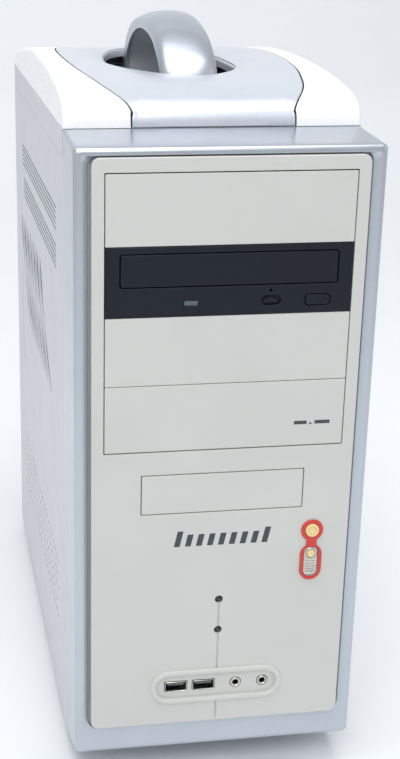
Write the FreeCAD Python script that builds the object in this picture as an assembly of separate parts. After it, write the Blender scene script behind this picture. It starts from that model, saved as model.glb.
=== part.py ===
import FreeCAD, Part
import math
import os

# Desktop computer tower, in millimetres. +Z is up, the front faces -Y and +X is the right as seen
# from the front. The origin is on the floor under the middle of the tower.

Vec = FreeCAD.Vector
X_AXIS = Vec(1, 0, 0)
Y_AXIS = Vec(0, 1, 0)
Z_AXIS = Vec(0, 0, 1)

# ---------------------------------------------------------------- overall sizes
case_width = 184.0
body_depth = 420.0            # face plate to the back of the side panels
bays_top = 403.0              # top of the drive bay stack above the floor
front_proud = 2.0             # how far the port panel and the buttons stand out of the face plate

# ---------------------------------------------------------------- clearances
gap = 0.3                     # between neighbouring pieces
seam = 0.5                    # visible seams between plastic covers
shaft_play = 0.05             # radial play of a shaft in its hole

# ---------------------------------------------------------------- sheet steel
sheet = 1.0
panel_bottom = 8.3
panel_flange = 8.0
rear_flange = 12.0
strip_height = 16.5           # chassis strip between the side panel and the top cover
strip_ledge = 4.0             # how much further in the strip's ledge reaches than the panels' folds
strip_hem = 10.0
base_side = 14.0              # height of the base's folded sides
wiring_hole = (30.0, 50.0, 6.0)      # width, height and corner radius in the front sheet
ports_hole = (60.0, 14.0, 4.0)
air_radius = 2.5
air_pitch = 10.0
air_columns = 10
air_rows = 4
air_above_ports = 21.0
rear_air_radius = 2.2
rear_air_pitch = 6.0
rear_lip = 6.0                # rear sheet left behind each piece that is fitted against it
shield_lip = 1.5
boss_radius = 4.0
boss_length = 6.0

# ---------------------------------------------------------------- vent slots of the left panel
vent_rows = 5
vent_columns = 24
vent_pitch = 11.2
vent_row_pitch = 10.5
vent_length = 6.5
vent_slot = 2.6
vent_start = 98.0
vent_z = 72.0

# ---------------------------------------------------------------- silver bezel frame
frame_depth = 53.0
frame_setback = 2.0           # outer front edge behind the face plate's surface
frame_wall = 2.5
frame_band = 3.2
frame_slope = 2.0             # how much deeper the band lies at its inner edge
frame_edge_radius = 3.0
frame_rise = 14.2             # frame top above the bay stack, at the front
frame_chin = 16.0             # frame underside above the side panel's bottom edge, at the front

# ---------------------------------------------------------------- light grey face plate
face_side_margin = 10.1       # frame left beside the face plate
face_above_bays = 9.0
face_chin = 18.4              # face plate's lower edge above the frame's underside
face_thickness = 3.0
face_corner = 5.0
face_edge = 1.2
face_return = 8.0
face_groove = 1.6             # dark groove between the face plate and the frame
return_wall = 2.0
lip_side = 4.0                # flange behind the frame's band, beside and above the face plate
lip_top = 2.0
line_width = 1.0
line_depth = 0.8

# ---------------------------------------------------------------- drive bays
bay_width = 148.0
bay_pitch = 42.3
bay_count = 4
drive_bay = 1                 # the second bay from the top holds the optical drive
blank_thickness = 2.5
blank_return = 14.0
blank_edge = 0.5
ear_inset = 1.0
ear_thickness = 2.0
ear_margin = 4.0
rib_reach = 6.0
rib_thickness = 1.5
floppy_width = 101.6
floppy_height = 25.4
floppy_drop = 185.1           # top of the floppy blank below the top of the bay stack

# ---------------------------------------------------------------- optical drive
drive_body_width = 146.0
drive_body_height = 41.0
drive_length = 185.0
drive_wall = 0.8
bezel_thickness = 5.0
door_overhang = 2.0           # the door is wider than the tray by this on each side
door_height = 19.3
door_drop = 4.4               # top of the tray door below the top of the drive bay
door_thickness = 4.5
door_edge = 0.8
tray_width = 126.0
tray_length = 146.0
tray_thickness = 7.0
tray_rim = 2.5                # tray left beside the disc recess
tray_front = 9.0              # tray left in front of it
disc_recess_depth = 3.0
hub_slot_width = 38.0
eject_width = 15.0
eject_height = 6.3
eject_x = 53.5
eject_drop = 34.0             # centre of the eject button below the top of the drive bay
eject_length = 9.0
eject_proud = 0.4
eject_stem = 4.0
lens_width = 12.0
lens_height = 6.0
lens_x = 25.0
lens_drop = 33.5
lamp_width = 8.3
lamp_height = 3.0
lamp_x = -23.0
spindle_radius = 14.0
spindle_height = 9.0
spindle_pin_radius = 2.0
hub_radius = 7.4
hub_height = 2.2
deck_width = 100.0
deck_thickness = 1.4
deck_gap = 2.0                # between the drive's floor and the spindle motor
rail_radius = 1.5
rail_length = 40.0
rail_half_gap = 26.0

# ---------------------------------------------------------------- switches, lamps and ports
switch_x = 58.5
power_drop = 227.0            # power button's axis below the top of the bay stack
power_radius = 4.4
power_length = 12.0
button_stem_radius = 1.5
button_stem = 3.0
surround_radius = 7.2
surround_thickness = 1.0
surround_low_width = 14.2
surround_low_top = 236.8
surround_low_height = 24.6
surround_neck = 7.0
insert_width = 8.8
insert_drop = 239.0
insert_height = 19.6
insert_sunk = 0.4             # insert's face behind the surround's face
insert_ribs = 5
insert_rib_pitch = 1.8
insert_groove = 0.8
reset_drop = 243.2
reset_radius = 2.7
reset_length = 12.0
reset_proud = 0.2             # beyond the surround's face
button_travel = 1.2
switch_board_width = 22.0
switch_width = 7.0
switch_depth = 4.0
lamp_radius = 2.5
lamp_drops = (272.0, 293.7)
lamp_length = 9.0
lamp_sunk = 0.6
lamp_flange = 1.0
lamp_flange_thickness = 1.2
ports_width = 87.0
ports_height = 24.2
ports_drop = 333.5
rim_width = 4.0
rim_radius = 1.2
ports_floor = 2.0
ports_plug_inset = 3.0
ports_sunk = 0.4              # port panel's rim behind the power button's face
usb_width = 14.6
usb_height = 6.8
usb_length = 14.0
usb_wall = 0.5
usb_sunk = 0.4                # mouth behind the face plate's surface
usb_places = (-26.5, -8.3)
tongue_width = 11.0
tongue_thickness = 1.9
tongue_setback = 1.6
tongue_root = 3.0
jack_places = (13.0, 30.8)
jack_radius = 3.5
jack_bore = 1.8
jack_length = 13.0
jack_sunk = 0.2
jack_nose = 4.0
jack_body = 10.0
port_board_depth = 25.0
board_thickness = 1.6

# ---------------------------------------------------------------- top cover, centre panel and handle
cover_wall = 2.5
drawn_top = 364.0             # length of the top that the curves below are drawn for
drawn_width = 184.0
dish_width = 124.0
dish_length = 234.0
dish_middle = 161.5           # middle of the dish behind the front of the top cover
well_width = 86.0
well_length = 208.0
well_edge_height = 33.0       # height of the oval's edge above the bay stack
well_drop = 6.0               # top of the well's wall below that edge
well_wall = 2.0
handle_width = 38.0
handle_edge_radius = 5.0
handle_screw_radius = 1.6
handle_screw_head = 3.0
handle_head_depth = 1.0
handle_screw_length = 11.0

# ---------------------------------------------------------------- power supply
supply_width = 150.0
supply_height = 86.0
supply_depth = 140.0
supply_side_gap = 0.4
supply_fan_x = 30.0
inlet_x = -50.0
inlet_width = 27.0
inlet_height = 19.5
inlet_depth = 20.0
inlet_recess = 15.0
inlet_wall = 1.5
inlet_proud = 1.5
inlet_pins = ((-7.0, -2.5), (7.0, -2.5), (0.0, 2.0))     # across and up from the inlet's middle
inlet_pin = (2.0, 4.0, 3.0)   # width, height and how far its end is behind the mouth
rocker_width = 20.0
rocker_height = 13.0
rocker_tilt = 7.0
rocker_frame_wall = 1.5
rocker_frame_depth = 14.0
rocker_pivot = 5.0            # pivot behind the frame's face
rocker_pin_radius = 1.0
selector_width = 13.0
selector_height = 7.0
selector_travel = 5.0
selector_sunk = 0.4
selector_notch = 1.6
supply_slots = 8
supply_slot_pitch = 8.0
supply_slot = (60.0, 3.0)     # width and height

# ---------------------------------------------------------------- fans
fan_size = 80.0
fan_depth = 25.0
fan_wall = 2.5                # thinnest wall round the duct
rotor_play = 1.5              # between the blades' tips and the duct
rotor_hub_radius = 17.0
rotor_blades = 7
blade_thickness = 1.6
blade_pitch = 42.0            # degrees
mount_thickness = 3.0
strut_width = 3.0
grille_wire = 1.6
grille_rings = (0.26, 0.44, 0.62, 0.8)      # share of the grille's reach
cooler_fan_size = 70.0
cooler_fan_depth = 15.0
fan_pin_radius = 2.0

# ---------------------------------------------------------------- motherboard and what is on it
tray_x = 70.0
standoff_height = 5.0
board_height = 244.0
board_depth = 214.0
board_drop = 10.6             # top edge below the power supply
board_setback = 3.0           # board edge ahead of the rear sheet
tray_margin = 6.0             # tray beyond the motherboard's front edge
tray_lip = 9.0
standoff_radius = 3.0
standoff_nose_radius = 1.6
standoff_inset = 10.0
shield_width = 44.45
shield_height = 158.75
shield_thickness = 0.6
slot_count = 6
slot_pitch = 20.32
slot_drop = 172.0             # first slot's middle below the motherboard's top edge
slot_cover_length = 118.0
slot_cover_width = 18.4
heatsink_size = 70.0
heatsink_height = 38.0
heatsink_base = 6.0
fin_count = 15
fin_thickness = 1.2
memory_length = 133.0
memory_height = 30.0

# ---------------------------------------------------------------- hard drive and its cage
disk_width = 101.6
disk_height = 25.4
disk_length = 147.0
disk_bottom = 150.0
disk_screw_height = 6.4
disk_screw_places = (29.0, 130.0)
disk_screw_radius = 1.6
cage_low_length = 150.0
cage_length = 134.0
cage_slot_length = 16.0
cage_slot_height = 3.4
cage_slot_places = (35.0, 105.0)
cage_slot_low = 10.0          # below the middle of each bay
cage_tab = 12.0
cage_foot = 8.0

# ---------------------------------------------------------------- thumbscrews and feet
screw_head_radius = 6.0
screw_head_length = 9.0
screw_shank_radius = 1.7
screw_shank_length = 9.0
screw_end_margin = 45.0
foot_radius = 12.0
foot_edge = 1.5
flute_count = 12
flute_radius = 0.7
flute_start = 2.5
screw_slot_width = 1.2
screw_slot_depth = 1.5
foot_inset_x = 26.0
foot_inset_y = 45.0

# ---------------------------------------------------------------- places worked out from the sizes
half_width = case_width / 2
panel_top = bays_top
total_depth = front_proud + body_depth + screw_head_length
face_y = front_proud - total_depth / 2
back_y = face_y + body_depth
frame_front = face_y + frame_setback
frame_back = frame_front + frame_depth
panel_front = frame_back + seam
front_sheet_y = panel_front + seam
rear_sheet_y = back_y - sheet - gap - sheet
inner_half = half_width - sheet - gap          # outer face of the chassis under the side panels
base_z = panel_bottom + sheet + gap
strip_bottom = panel_top + seam
strip_top = strip_bottom + strip_height
face_top = bays_top + face_above_bays
frame_top = bays_top + frame_rise
frame_bottom = panel_bottom + frame_chin
face_bottom = frame_bottom + face_chin
face_width = case_width - 2 * face_side_margin
face_height = face_top - face_bottom
drive_top = bays_top - bay_pitch * drive_bay - gap
drive_bottom = drive_top - drive_body_height
door_width = tray_width + 2 * door_overhang
disc_recess_radius = tray_width / 2 - tray_rim
disc_y = face_y + door_thickness + disc_recess_radius + tray_front
door_z = drive_top - door_drop - door_height / 2
eject_z = drive_top - eject_drop
power_z = bays_top - power_drop
reset_z = bays_top - reset_drop
insert_z = bays_top - insert_drop - insert_height / 2
ports_z = bays_top - ports_drop
fan_bore_radius = fan_size / 2 - fan_wall
rotor_radius = fan_bore_radius - rotor_play
supply_top = bays_top - supply_side_gap
supply_bottom = supply_top - supply_height
supply_z = (supply_top + supply_bottom) / 2
supply_back = rear_sheet_y - gap
supply_front = supply_back - supply_depth
inlet_z = supply_z - supply_height / 6
rocker_z = supply_z + supply_height / 5
selector_x = (inlet_x + inlet_width / 2 + supply_fan_x - fan_size / 2) / 2
selector_z = rocker_z
board_x = tray_x - standoff_height
board_face = board_x - board_thickness
board_back = rear_sheet_y - board_setback
board_front = board_back - board_depth
board_top = supply_bottom - board_drop
board_bottom = board_top - board_height
slot_top = board_top - slot_drop
shield_x = board_face - shield_width / 2 + board_thickness
shield_z = board_top - shield_height / 2
rear_fan_x = shield_x - shield_width / 2 - fan_size / 2 - 8.0
rear_fan_z = board_top - fan_size / 2 - 4.0
cooler_y = board_back - 95.0
cooler_z = board_top - 66.0
well_z = strip_top + gap
well_top = bays_top + well_edge_height - well_drop
top_start = face_y + frame_setback + frame_depth + seam
top_end = back_y - seam
top_stretch = (top_end - top_start) / drawn_top
top_widening = case_width / drawn_width
dish_y = top_start + dish_middle * top_stretch
well_long = well_length * top_stretch
dish_long = dish_length * top_stretch
shelf_z = bays_top - bay_pitch * bay_count - 2 * sheet

# The top cover's side profile: distance behind its front edge and height above the bay stack.
cover_profile = [
    (0.0, 17.0), (1.5, 25.0), (8.5, 32.0), (28.5, 37.6), (69.5, 41.8), (119.5, 44.2), (169.5, 45.0),
    (218.5, 43.4), (269.5, 39.0), (325.5, 32.0), (354.5, 26.0), (364.0, 17.0),
]

# The centre panel's outline in plan: distance behind the cover's front edge and half width.
centre_outline = [(1.5, 51.0), (10.5, 60.0), (43.5, 66.5), (94.5, 74.0), (169.5, 77.0), (234.5, 71.0)]
centre_back = 282.5

# The handle's outer and inner curves, in the same measures as the cover's profile.
handle_outer = [(72.1, 19.0), (74.5, 38.0), (87.5, 53.0), (114.5, 67.0), (159.5, 74.0), (206.5, 66.0),
                (232.5, 53.5), (247.5, 38.0), (250.9, 19.0)]
handle_inner = [(84.5, 19.0), (87.5, 36.0), (98.5, 49.0), (121.5, 58.5), (157.5, 62.0), (187.5, 58.5),
                (211.5, 49.5), (228.5, 36.0), (233.5, 19.0)]


# ---------------------------------------------------------------- shapes used by many pieces
def block(x0, x1, y0, y1, z0, z1):
    return Part.makeBox(x1 - x0, y1 - y0, z1 - z0, Vec(x0, y0, z0))


def wide_block(width, y0, y1, z0, z1, x=0.0):
    return block(x - width / 2, x + width / 2, y0, y1, z0, z1)


def rod(radius, start, length, axis):
    return Part.makeCylinder(radius, length, start, axis)


def join(shapes):
    whole = shapes[0]
    if len(shapes) > 1:
        whole = shapes[0].fuse(shapes[1:])
    return whole.removeSplitter()


def round_edges(shape, radius, chosen):
    edges = [edge for edge in shape.Edges if chosen(edge)]
    return shape.makeFillet(radius, edges)


def runs_along(edge, axis):
    start = edge.Vertexes[0].Point
    end = edge.Vertexes[-1].Point
    along = end - start
    return along.Length > 1e-6 and abs(abs(along.normalize().dot(axis)) - 1) < 1e-6


def lies_at_y(edge, y):
    return abs(edge.BoundBox.YMin - y) < 1e-4 and abs(edge.BoundBox.YMax - y) < 1e-4


def slab(width, height, radius, y0, y1, x, z):
    """A plate across Y with its four corners rounded."""
    plate = wide_block(width, y0, y1, z - height / 2, z + height / 2, x)
    return round_edges(plate, radius, lambda edge: runs_along(edge, Y_AXIS))


def stadium(width, height, y0, y1, x, z):
    """A plate across Y whose short sides are half circles."""
    return slab(width, height, height / 2 - 0.001, y0, y1, x, z)


def ring_wall(width, height, radius, wall, y0, y1, x, z):
    """The wall of a rounded rectangular tube along Y."""
    outer = slab(width, height, radius, y0, y1, x, z)
    inner = slab(width - 2 * wall, height - 2 * wall, max(radius - wall, 0.4), y0 - 1, y1 + 1, x, z)
    return outer.cut(inner)


def rounded_wire(width, height, radius, y, x, z):
    """The outline of a rounded rectangle in a plane across Y."""
    plate = slab(width, height, radius, y, y + 1, x, z)
    face = [side for side in plate.Faces if abs(side.BoundBox.YMax - y) < 1e-4][0]
    return face.OuterWire


def top_y(behind):
    """A place along the top, moved with the case's depth."""
    return top_start + behind * top_stretch


def yz_points(points, x):
    return [Vec(x, top_y(behind), bays_top + above) for behind, above in points]


def spline_edge(points):
    curve = Part.BSplineCurve()
    curve.interpolate(points)
    return curve.toShape()


def box_wall(x0, x1, y0, y1, z0, z1, wall, open_front=False):
    """A closed sheet-metal box, or one that is open towards the front."""
    front_wall = -1.0 if open_front else wall
    return block(x0, x1, y0, y1, z0, z1).cut(
        block(x0 + wall, x1 - wall, y0 + front_wall, y1 - wall, z0 + wall, z1 - wall))


def fan_frame(size, depth, bore, centre, axis_y):
    """A square fan housing: duct, corner screw holes, and a motor mount on four struts with its pin."""
    hub = rotor_hub_radius * size / fan_size
    plate = Part.makeBox(size, depth, size, Vec(-size / 2, 0, -size / 2))
    plate = round_edges(plate, size / 20, lambda edge: runs_along(edge, Y_AXIS))
    duct = rod(bore, Vec(0, -1, 0), depth + 2, Y_AXIS)
    corner = size / 2 - size / 20 - 0.5
    holes = [rod(size / 36, Vec(sx * corner, -1, sz * corner), depth + 2, Y_AXIS)
             for sx in (-1, 1) for sz in (-1, 1)]
    body = plate.cut([duct] + holes)
    back = depth - mount_thickness
    mount = rod(hub, Vec(0, back, 0), mount_thickness, Y_AXIS)
    half, reach = strut_width / 2, bore + 1
    struts = [block(-reach, reach, back, depth, -half, half), block(-half, half, back, depth, -reach, reach)]
    pin = rod(fan_pin_radius, Vec(0, 4, 0), depth - 6, Y_AXIS)
    return place_fan(join([body, mount, pin] + struts), centre, axis_y)


def fan_rotor(size, depth, radius, centre, axis_y):
    """A hub cup with blades, bored to run on the fan housing's pin."""
    hub = rotor_hub_radius * size / fan_size
    front, slack = 2.0, 1.0
    length = depth - mount_thickness - front - slack
    cup = rod(hub, Vec(0, front, 0), length, Y_AXIS)
    blades = []
    for count in range(rotor_blades):
        chord = length * 0.75
        corner = Vec(hub - 2, -chord / 2, -blade_thickness / 2)
        blade = Part.makeBox(radius - hub + 2, chord, blade_thickness, corner)
        blade.rotate(Vec(0, 0, 0), X_AXIS, blade_pitch)
        blade.translate(Vec(0, front + length / 2, 0))
        blade.rotate(Vec(0, 0, 0), Y_AXIS, 360.0 * count / rotor_blades)
        blades.append(blade)
    whole = join([cup] + blades)
    sweep = rod(radius, Vec(0, front, 0), length, Y_AXIS)
    bore = rod(fan_pin_radius + shaft_play, Vec(0, front + 1.5, 0), depth, Y_AXIS)
    return place_fan(whole.common(sweep).cut(bore), centre, axis_y)


def place_fan(shape, centre, axis_y):
    if not axis_y:
        shape.rotate(Vec(0, 0, 0), Z_AXIS, -90)
    shape.translate(centre)
    return shape


# ---------------------------------------------------------------- chassis
def fold_notches(y0, y1):
    """Room in the front and rear sheets for the side panels' upper folds."""
    inner = half_width - panel_flange - gap
    z0, z1 = panel_top - sheet - gap, strip_bottom + sheet + gap
    return [block(-half_width, -inner, y0 - 1, y1 + 1, z0, z1),
            block(inner, half_width, y0 - 1, y1 + 1, z0, z1)]


def chassis_base():
    plate = block(-inner_half, inner_half, front_sheet_y + sheet + gap, rear_sheet_y - gap, base_z,
                  base_z + sheet)
    y0, y1 = front_sheet_y + sheet + gap, rear_sheet_y - gap
    z1 = base_z + base_side
    sides = [block(-inner_half, -inner_half + sheet, y0, y1, base_z, z1),
             block(inner_half - sheet, inner_half, y0, y1, base_z, z1)]
    return join([plate] + sides)


def chassis_front_sheet():
    y0, y1 = front_sheet_y, front_sheet_y + sheet
    plate = block(-inner_half, inner_half, y0, y1, base_z, strip_top - sheet - gap)
    bays = wide_block(bay_width - 1, y0 - 1, y1 + 1, bays_top - bay_pitch * bay_count + seam, bays_top - seam)
    floppy_top = bays_top - floppy_drop
    floppy = wide_block(floppy_width + 1, y0 - 1, y1 + 1, floppy_top - floppy_height - seam, floppy_top + seam)
    wiring = slab(*wiring_hole, y0 - 1, y1 + 1, switch_x - 3, (power_z + reset_z) / 2)
    ports = slab(*ports_hole, y0 - 1, y1 + 1, 0, ports_z)
    first = -air_pitch * (air_columns - 1) / 2
    air = [rod(air_radius, Vec(first + air_pitch * column, y0 - 1, ports_z + air_above_ports + air_pitch * row),
               sheet + 2, Y_AXIS) for column in range(air_columns) for row in range(air_rows)]
    return plate.cut([bays, floppy, wiring, ports] + air + fold_notches(y0, y1))


def rear_openings(y0, y1):
    """The cut-outs of the rear sheet: power supply, fan grille, connector shield and card slots."""
    supply = wide_block(supply_width - 2 * rear_lip, y0, y1, supply_bottom + rear_lip, supply_top - rear_lip)
    shield = wide_block(shield_width - 2 * shield_lip, y0, y1, shield_z - shield_height / 2 + shield_lip,
                        shield_z + shield_height / 2 - shield_lip, shield_x)
    slots = [wide_block(slot_cover_length - 2 * rear_lip, y0, y1, slot_top - slot_pitch * count - rear_lip,
                        slot_top - slot_pitch * count + rear_lip, slot_x()) for count in range(slot_count)]
    pitch = rear_air_pitch
    steps = int(fan_bore_radius / pitch)
    air = []
    for column in range(-steps, steps + 1):
        for row in range(-steps, steps + 1):
            if math.hypot(column, row) * pitch < fan_bore_radius - 3:
                place = Vec(rear_fan_x + column * pitch, y0, rear_fan_z + row * pitch)
                air.append(rod(rear_air_radius, place, y1 - y0, Y_AXIS))
    return [supply, shield] + slots + air


def slot_x():
    return shield_x + shield_width / 2 - slot_cover_length / 2


def screw_places():
    """The thumbscrews' x, z and side."""
    high = panel_top - screw_end_margin
    low = panel_bottom + screw_end_margin
    return [(side, side * (half_width - rear_flange / 2 - 0.5), z) for side in (-1, 1) for z in (high, low)]


def chassis_rear_sheet():
    y0, y1 = rear_sheet_y, rear_sheet_y + sheet
    plate = block(-inner_half, inner_half, y0, y1, base_z, strip_top - sheet - gap)
    bosses = [rod(boss_radius, Vec(x, y0 - boss_length, z), boss_length, Y_AXIS)
              for side, x, z in screw_places()]
    depth = boss_length + sheet + 2
    holes = [rod(screw_shank_radius + shaft_play, Vec(x, y0 - boss_length - 1, z), depth, Y_AXIS)
             for side, x, z in screw_places()]
    return join([plate] + bosses).cut(rear_openings(y0 - 1, y1 + 1) + holes + fold_notches(y0, y1))


def chassis_top_tray():
    y0, y1 = front_sheet_y + sheet + gap, rear_sheet_y - gap
    plate = block(-half_width, half_width, y0, y1, strip_top - sheet, strip_top)
    ledge = half_width - panel_flange - strip_ledge
    sides = []
    for side in (-1, 1):
        for inner, outer, low, high in (
                (half_width - sheet, half_width, strip_bottom, strip_top),
                (ledge, half_width, strip_bottom, strip_bottom + sheet),
                (ledge, ledge + sheet, strip_bottom - strip_hem, strip_bottom + sheet)):
            ends = sorted((side * inner, side * outer))
            sides.append(block(ends[0], ends[1], y0, y1, low, high))
    return join([plate] + sides)


def motherboard_tray():
    y0, y1 = board_front - tray_margin, rear_sheet_y - gap
    z0, z1 = base_z + sheet + gap, board_top + 2
    plate = block(tray_x, tray_x + sheet, y0, y1, z0, z1)
    foot = block(tray_x, inner_half - sheet - gap, y0, y1, z0, z0 + sheet)
    front_lip = block(tray_x, tray_x + tray_lip, y0, y0 + sheet, z0, z1)
    return join([plate, foot, front_lip] + standoffs())


def standoff_places():
    low, high = board_bottom + standoff_inset, board_top - standoff_inset
    return [(y, z) for y in (board_front + standoff_inset, board_back - standoff_inset)
            for z in (low, (low + high) / 2, high)]


def standoffs():
    """The spacers that are pressed into the tray, each with a locating nose for the motherboard."""
    pieces = []
    for y, z in standoff_places():
        pieces.append(rod(standoff_radius, Vec(board_x, y, z), standoff_height, X_AXIS))
        pieces.append(rod(standoff_nose_radius, Vec(board_face - 1, y, z), board_thickness + 2, X_AXIS))
    return pieces


def drive_cage():
    """A U-shaped sheet for the wide bays, with slots for the drive screws, over a narrower channel."""
    y0, y1 = front_sheet_y + sheet + gap, front_sheet_y + sheet + gap + cage_length
    inner = drive_body_width / 2 + gap
    walls = [block(inner, inner + sheet, y0, y1, shelf_z, bays_top - seam),
             block(-inner - sheet, -inner, y0, y1, shelf_z, bays_top - seam)]
    floor = block(-inner - sheet, inner + sheet, y0, y1, shelf_z, shelf_z + sheet)
    slots = []
    for count in range(bay_count):
        z = bays_top - bay_pitch * (count + 0.5) - cage_slot_low
        for place in cage_slot_places:
            slots.append(cage_slot(inner, y0 + place, z))
    return join(walls + [floor, lower_cage()]).cut(slots)


def cage_slot(inner, y, z):
    """A slot through both walls of a cage, for the drives' screws."""
    half_long, half_high = cage_slot_length / 2, cage_slot_height / 2
    return block(-inner - 5, inner + 5, y - half_long, y + half_long, z - half_high, z + half_high)


def lower_cage():
    """The sheet channel for the small drives, spot-welded under the upper cage."""
    y0, y1 = front_sheet_y + sheet + gap, front_sheet_y + sheet + gap + cage_low_length
    inner = disk_width / 2 + gap
    z0, z1 = disk_bottom - cage_tab, shelf_z
    walls = [block(inner, inner + sheet, y0, y1, z0, z1), block(-inner - sheet, -inner, y0, y1, z0, z1)]
    tabs = [block(inner, inner + cage_tab, y0, y1, z1 - sheet, z1),
            block(-inner - cage_tab, -inner, y0, y1, z1 - sheet, z1)]
    feet = [block(inner - cage_foot, inner, y0, y1, z0, z0 + sheet),
            block(-inner, -inner + cage_foot, y0, y1, z0, z0 + sheet)]
    slots = [cage_slot(inner, y0 + place, disk_bottom + disk_screw_height) for place in cage_slot_places]
    return join(walls + tabs + feet).cut(slots)


def rubber_feet():
    pieces = []
    for x in (-half_width + foot_inset_x, half_width - foot_inset_x):
        for y in (panel_front + foot_inset_y, back_y - foot_inset_y):
            foot = rod(foot_radius, Vec(x, y, 0), base_z, Z_AXIS)
            pieces.append(round_edges(foot, foot_edge, lambda edge: edge.BoundBox.ZMax < 1e-4))
    return Part.makeCompound(pieces)


# ---------------------------------------------------------------- bezel, face plate and blanks
def frame_prism(inset, y_front, half):
    """The frame's side profile, pulled in by inset, made into a prism across the case."""
    slope_top = (strip_top - frame_top) / frame_depth
    slope_low = (panel_bottom - frame_bottom) / frame_depth
    along = y_front - frame_front
    outline = [Vec(-half, y_front, frame_top + slope_top * along - inset),
               Vec(-half, frame_back + inset, strip_top - inset),
               Vec(-half, frame_back + inset, panel_bottom + inset),
               Vec(-half, y_front, frame_bottom + slope_low * along + inset)]
    wire = Part.makePolygon(outline + [outline[0]])
    return Part.Face(wire).extrude(Vec(2 * half, 0, 0))


def bezel_frame():
    outer = frame_prism(0, frame_front, half_width)
    outer = round_edges(outer, frame_edge_radius, lambda edge: edge.BoundBox.YMin < frame_back - 1)
    cavity = frame_prism(frame_wall, frame_front + frame_band + frame_slope, half_width - frame_wall)
    hole_width = face_width + 2 * face_groove
    hole_height = face_height + 2 * face_groove
    middle = (face_top + face_bottom) / 2
    radius = face_corner + face_groove
    hole = slab(hole_width, hole_height, radius, frame_front - 5, frame_front + 20, 0, middle)
    band_height = frame_top - frame_bottom - 2 * frame_edge_radius
    band_middle = (frame_top + frame_bottom) / 2
    near = rounded_wire(case_width - 2 * frame_edge_radius, band_height, frame_edge_radius,
                        frame_front - 0.01, 0, band_middle)
    far = rounded_wire(hole_width - 0.5, hole_height - 0.5, radius, frame_front + frame_slope, 0, middle)
    bevel = Part.makeLoft([near, far], True, True)
    return outer.cut([cavity, hole, bevel])


def face_plate():
    middle = (face_top + face_bottom) / 2
    plate = slab(face_width, face_height, face_corner, face_y, face_y + face_thickness, 0, middle)
    plate = round_edges(plate, face_edge, lambda edge: lies_at_y(edge, face_y))
    wall_back = frame_front + frame_slope + frame_band + gap + return_wall
    wall = ring_wall(face_width, face_height, face_corner, return_wall, face_y + face_thickness - 0.5,
                     wall_back, 0, middle)
    lip = ring_wall(face_width + 2 * lip_side, face_height + 2 * lip_top, face_corner + 3, 2 * lip_side,
                    wall_back - return_wall, wall_back, 0, middle)
    return join([plate, wall, lip]).cut(face_cuts())


def face_cuts():
    """Every opening of the face plate, and the fine groove that joins the lamps and the ports."""
    y0, y1 = face_y - 1, face_y + face_thickness + 20
    stack = bay_pitch * bay_count
    bays = wide_block(bay_width + 2 * seam, y0, y1, bays_top - stack - seam, bays_top + seam)
    floppy_z = bays_top - floppy_drop - floppy_height / 2
    floppy = wide_block(floppy_width + 2 * seam, y0, y1, floppy_z - floppy_height / 2 - seam,
                        floppy_z + floppy_height / 2 + seam)
    power = rod(power_radius + gap, Vec(switch_x, y0, power_z), y1 - y0, Y_AXIS)
    window = slab(insert_width + 2 * gap, insert_height + 2 * gap, 3.0, y0, y1, switch_x, insert_z)
    ports = stadium(ports_width - 2 * ports_plug_inset, ports_height - 2 * ports_plug_inset, y0, y1, 0, ports_z)
    lamps = [rod(lamp_radius + shaft_play, Vec(0, y0, bays_top - drop), y1 - y0, Y_AXIS) for drop in lamp_drops]
    groove = wide_block(line_width, y0, face_y + line_depth, face_bottom - 1, bays_top - lamp_drops[0])
    return [bays, floppy, power, window, ports, groove] + lamps


def blank(width, top, height):
    z0, z1 = top - height, top
    plate = slab(width, height, 0.6, face_y, face_y + blank_thickness, 0, (z0 + z1) / 2)
    plate = round_edges(plate, blank_edge, lambda edge: lies_at_y(edge, face_y))
    back = face_y + blank_return
    outside = width / 2 - ear_inset
    inside = outside - ear_thickness
    ears = [block(-outside, -inside, face_y + 1, back, z0 + ear_margin, z1 - ear_margin),
            block(inside, outside, face_y + 1, back, z0 + ear_margin, z1 - ear_margin)]
    rib_top = z1 - rib_thickness
    rib = block(-inside, inside, face_y + 1, face_y + rib_reach, rib_top - rib_thickness, rib_top)
    return join([plate, rib] + ears)


def bay_blank(number):
    top = bays_top - bay_pitch * number - gap / 2
    return blank(bay_width, top, bay_pitch - gap)


def floppy_blank():
    return blank(floppy_width, bays_top - floppy_drop, floppy_height)


# ---------------------------------------------------------------- switches, lamps and ports
def surround_solid(grow, y0, y1):
    """The figure of eight: a disc, a neck and an upright capsule."""
    low_z = bays_top - surround_low_top - surround_low_height / 2
    disc = rod(surround_radius + grow, Vec(switch_x, y0, power_z), y1 - y0, Y_AXIS)
    neck = wide_block(surround_neck + 2 * grow, y0, y1, low_z, power_z, switch_x)
    width = surround_low_width + 2 * grow
    capsule = slab(width, surround_low_height + 2 * grow, width / 2 - 0.5, y0, y1, switch_x, low_z)
    return join([disc, neck, capsule])


def switch_surround():
    body = surround_solid(0, face_y - surround_thickness, face_y)
    power = rod(power_radius + gap, Vec(switch_x, face_y - 5, power_z), 10, Y_AXIS)
    window = slab(insert_width + 2 * gap, insert_height + 2 * gap, 3.0, face_y - 5, face_y + 5,
                  switch_x, insert_z)
    return body.cut([power, window])


def power_button():
    top = face_y - front_proud
    cap = rod(power_radius, Vec(switch_x, top, power_z), power_length, Y_AXIS)
    cap = round_edges(cap, 0.8, lambda edge: lies_at_y(edge, top))
    stem = rod(button_stem_radius, Vec(switch_x, top + power_length, power_z), button_stem, Y_AXIS)
    return join([cap, stem])


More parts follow.
